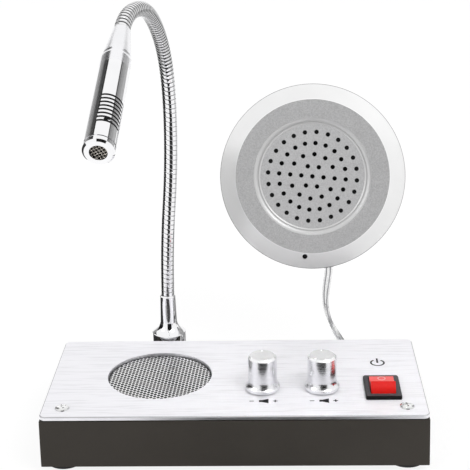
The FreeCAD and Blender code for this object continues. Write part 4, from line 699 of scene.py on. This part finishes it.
# Control points of the lead's line in mm: from the grommet to the hank, and from the hank to the plug.
LEAD_DROP = [(42.79, 65.92, 54.6), (43.3, 64.8, 50.0), (42.1, 63.1, 43.6), (41.3, 61.0, 36.7),
             (41.9, 59.0, 30.5), (44.6, 56.4, 24.6), (47.3, 52.4, 20.9), (51.0, 47.6, 16.0),
             (55.6, 42.6, 10.6)]
LEAD_TAIL = [(22.6, 75, 1.85), (16.8, 75.2, 2.0), (10, 75.6, 2.9), (3.3, 73.6, 5.2),
             (-1.6, 69.2, 8.4), (-4, 63.1, 10), (-4, 57.1, 10)]


def half_turn(x, y, radius, z, first):
    """Control points of half a turn from a bearing; those between its ends stand out, as the line cuts in."""
    spread = 1 / math.cos(math.radians(15))
    points = []
    for k in range(7):
        a, r = math.radians(first + 30 * k), radius * (spread if 0 < k < 6 else 1)
        points.append((x + r * math.cos(a), y + r * math.sin(a), z))
    return points


def hank_loops():
    """Loops of the tied hank: three inwards in the upper layer, then outwards in the lower one."""
    cx, cy, half, upper, lower = 42.25, 57.6, 17.0, 5.25, 1.75
    turns = [(17.5, upper), (14.0, upper), (10.5, upper), (10.5, lower), (14.0, lower), (17.5, lower)]
    route = []
    for number, (radius, z) in enumerate(turns):
        if number:
            before, above = turns[number - 1]
            if z < above:
                spots = ((3, before, above), (11, before, above), (21, radius, z), (31, radius, z))
            elif z == lower:
                spots = ((2, before, z), (11, radius, z), (21, radius, z), (31, radius, z))
            else:
                spots = ((3, before, z), (13, before, z), (22, before, z), (31, radius, z))
            route += [(cx - half + x, cy - r, high) for x, r, high in spots]
        route += half_turn(cx + half, cy, radius, z, -90)
        route += [(cx + 7, cy + radius, z), (cx - 7, cy + radius, z)]
        if number < len(turns) - 1:
            route += half_turn(cx - half, cy, radius, z, 90)
    return route


def nurbs_points(route):
    """Points of the smooth line that the route's control points give."""
    curve = bpy.data.curves.new("lead_route", "CURVE")
    curve.dimensions = "3D"
    curve.resolution_u = 10
    spline = curve.splines.new("NURBS")
    spline.points.add(len(route) - 1)
    for point, place in zip(spline.points, route):
        point.co = (*mm(*place), 1)
    spline.order_u = 3
    spline.use_endpoint_u = True
    item = bpy.data.objects.new("lead_route", curve)
    bpy.context.scene.collection.objects.link(item)
    data = bpy.data.meshes.new_from_object(item)
    line = [v.co.copy() for v in data.vertices]
    bpy.data.objects.remove(item)
    points = line[:1]
    for p in line[1:]:
        if (p - points[-1]).length > 1e-5:
            points.append(p)
    return points


def strand_tube(points, strand, radius):
    """One of two strands that twist round each other along the line, as a tube of this radius in metres."""
    offset, lay, start, sides = 0.00093, 0.09, 1.05, 14
    rings, run, up = [], 0.0, Vector((0, 1, 0))
    for i, p in enumerate(points):
        if i:
            run += (p - points[i - 1]).length
        ahead = (points[min(i + 1, len(points) - 1)] - points[max(i - 1, 0)]).normalized()
        up = square_to(ahead, up)
        side = ahead.cross(up)
        turn = 2 * math.pi * run / lay + math.pi * strand + start
        centre = p + (up * math.cos(turn) + side * math.sin(turn)) * offset
        rings.append(ring_about(centre, up, side, [radius] * sides))
    return loft(rings)


def twisted_lead():
    """The lead between the units: two clear jackets that twist round each other, with a core in each."""
    jacket, core = 0.00097, 0.00026
    points = nurbs_points(LEAD_DROP + hank_loops() + LEAD_TAIL)
    verts, faces = [], []
    for radius in (jacket, core):
        first_face = len(faces)
        for strand in range(2):
            add(verts, faces, *strand_tube(points, strand, radius))
    item = piece("outer_lead", verts, faces, lead_skin, slot="clear_jacket",
                 replaces=["cord_drop", "cord_tail", "cord_hank"], smooth=180)
    item.data.materials.append(core_wire)
    for face in item.data.polygons[first_face:]:
        face.material_index = 1


twisted_lead()


# ---------------------------------------------------------------- floor, light and camera

def seen_rays(tree):
    """1 for the camera's rays and for those that a reflection or a clear piece sends on."""
    rays = tree.nodes.new("ShaderNodeLightPath").outputs
    seen = rays["Is Camera Ray"]
    for key in ("Is Glossy Ray", "Is Transmission Ray"):
        larger = tree.nodes.new("ShaderNodeMath")
        larger.operation = "MAXIMUM"
        tree.links.new(seen, larger.inputs[0])
        tree.links.new(rays[key], larger.inputs[1])
        seen = larger.outputs[0]
    return seen


def stage_material(name, colour, white):
    """Pale and plain; to the camera and in reflections it is nearly white but keeps shadows."""
    paint = Paint(name, colour, 0.9)
    paint.to("Base Color", paint.shade(paint.noise(3.0), 0.99, 1.01))
    level = paint.node("Math", {0: seen_rays(paint.tree)}, operation="MULTIPLY")
    level.inputs[1].default_value = white
    glow = paint.node("Emission", Color=(1, 1, 1, 1), Strength=1.06)
    soft = paint.node("MixShader", {0: level.outputs[0], 1: paint.shader.outputs[0], 2: glow.outputs[0]})
    paint.tree.links.new(soft.outputs[0], paint.tree.nodes["Material Output"].inputs["Surface"])
    return paint.mat


def studio_world(light, backdrop):
    """White all round: one strength lights the object, the other is what the camera and reflections see."""
    world = bpy.data.worlds.new("studio")
    bpy.context.scene.world = world
    world.use_nodes = True
    tree = world.node_tree
    mix = tree.nodes.new("ShaderNodeMixShader")
    tree.links.new(seen_rays(tree), mix.inputs[0])
    shaders = (tree.nodes["Background"], tree.nodes.new("ShaderNodeBackground"))
    for index, (shader, strength) in enumerate(zip(shaders, (light, backdrop)), 1):
        shader.inputs["Color"].default_value = (1, 1, 1, 1)
        shader.inputs["Strength"].default_value = strength
        tree.links.new(shader.outputs[0], mix.inputs[index])
    tree.links.new(mix.outputs[0], tree.nodes["World Output"].inputs["Surface"])


def lamp(name, place, target, size, energy, spread=180):
    """A round lamp that faces its target."""
    light = bpy.data.lights.new(name, "AREA")
    light.shape, light.size, light.energy, light.spread = "DISK", size, energy, math.radians(spread)
    item = bpy.data.objects.new(name, light)
    bpy.context.scene.collection.objects.link(item)
    item.location = place
    item.rotation_euler = (Vector(target) - Vector(place)).to_track_quat("-Z", "Y").to_euler()


def card(name, bearings, inner, outer, tone, centre=(0.0, 0.0)):
    """A dark studio card that only reflections see, between two circles, from one bearing to another.

    Each circle is a radius and a height; a bearing of 0 degrees is straight in front.
    """
    points, steps = [], 24
    for i in range(steps + 1):
        a = math.radians(bearings[0] + (bearings[1] - bearings[0]) * i / steps)
        points += [(centre[0] + r * math.sin(a), centre[1] - r * math.cos(a), z) for r, z in (inner, outer)]
    faces = [(2 * i, 2 * i + 2, 2 * i + 3, 2 * i + 1) for i in range(steps)]
    item = piece(name, points, faces, speckled(name + "_cloth", (tone, tone, tone), 1.0).mat, None)
    item.visible_camera = item.visible_diffuse = item.visible_shadow = False
    item.visible_transmission = item.visible_volume_scatter = False


def dark_cards():
    """Cards that give the chromed neck and microphone their dark bands."""
    neck = (FOOT.x * MM, FOOT.y * MM)
    far, floor_level, black, grey = 2.2, 0.0005, 0.004, 0.3
    card("floor_card_near", (-2, 40), (0.09, floor_level), (0.3, floor_level), black, neck)
    card("floor_card_front", (-12, 40), (0.3, floor_level), (far, floor_level), black, neck)
    card("tall_card_front", (-14, 36), (far, 0.0), (far, 2.4), black)
    card("floor_card_left", (-134, -70), (0.03, floor_level), (far, floor_level), black, neck)
    card("low_card_left", (-134, -70), (far, 0.0), (far, 0.9), black, neck)
    card("floor_card_right", (102, 145), (0.05, floor_level), (far, floor_level), grey, neck)
    # Behind on each side, steps in tone from the top down: each is a height and the tone below it.
    left = ((2.8, 0.02), (2.3, 0.07), (1.6, 0.12), (1.3, 0.3), (0.85, 0.42), (0.4, 0.62), (0.0, None))
    right = ((1.95, 0.1), (1.62, 0.34), (1.2, 0.42), (0.7, 0.55), (0.0, None))
    for side, bearings, levels in (("left", (-150, -130), left), ("right", (130, 150), right)):
        for index, ((high, tone), (low, _)) in enumerate(zip(levels, levels[1:])):
            card("mic_card_%s_%d" % (side, index), bearings, (far, low), (far, high), tone)


def photo_camera():
    """The camera fitted to the plate's corners in the photograph."""
    camera = bpy.data.cameras.new("camera")
    camera.sensor_width, camera.lens = 36.0, 95.54
    camera.clip_start, camera.clip_end = 0.01, 50
    view = bpy.data.objects.new("camera", camera)
    bpy.context.scene.collection.objects.link(view)
    place = (0.017937, -0.491427, 0.26573)
    right, up = Vector((0.99942, 0.02712, -0.02061)), Vector((0.01033, 0.33512, 0.94212))
    back = right.cross(up).normalized()
    turn = Matrix((right, back.cross(right), back)).transposed().to_4x4()
    view.matrix_world = Matrix.Translation(place) @ turn
    return view


floor_half, floor_height = 6, -0.0004
floor_corners = [(x, y, floor_height) for x, y in bar(-floor_half, -floor_half, floor_half, floor_half)]
floor_white = stage_material("stage_floor", (0.94, 0.94, 0.94), 0.82)
piece("floor", floor_corners, [(0, 1, 2, 3)], floor_white, None)
studio_world(light=0.72, backdrop=1.0)
lamp("key", (0.9, -0.9, 1.5), (0, 0, 0.05), 0.9, 9.0)
lamp("fill", (-1.3, -0.6, 0.9), (0, 0, 0.08), 0.8, 3.0)
lamp("plate_fill", (0.04, 0.06, 1.2), (0.035, -0.02, 0.026), 0.1, 0.005, 5)
dark_cards()
bpy.context.scene.camera = photo_camera()
bpy.context.scene.view_settings.view_transform = "Standard"
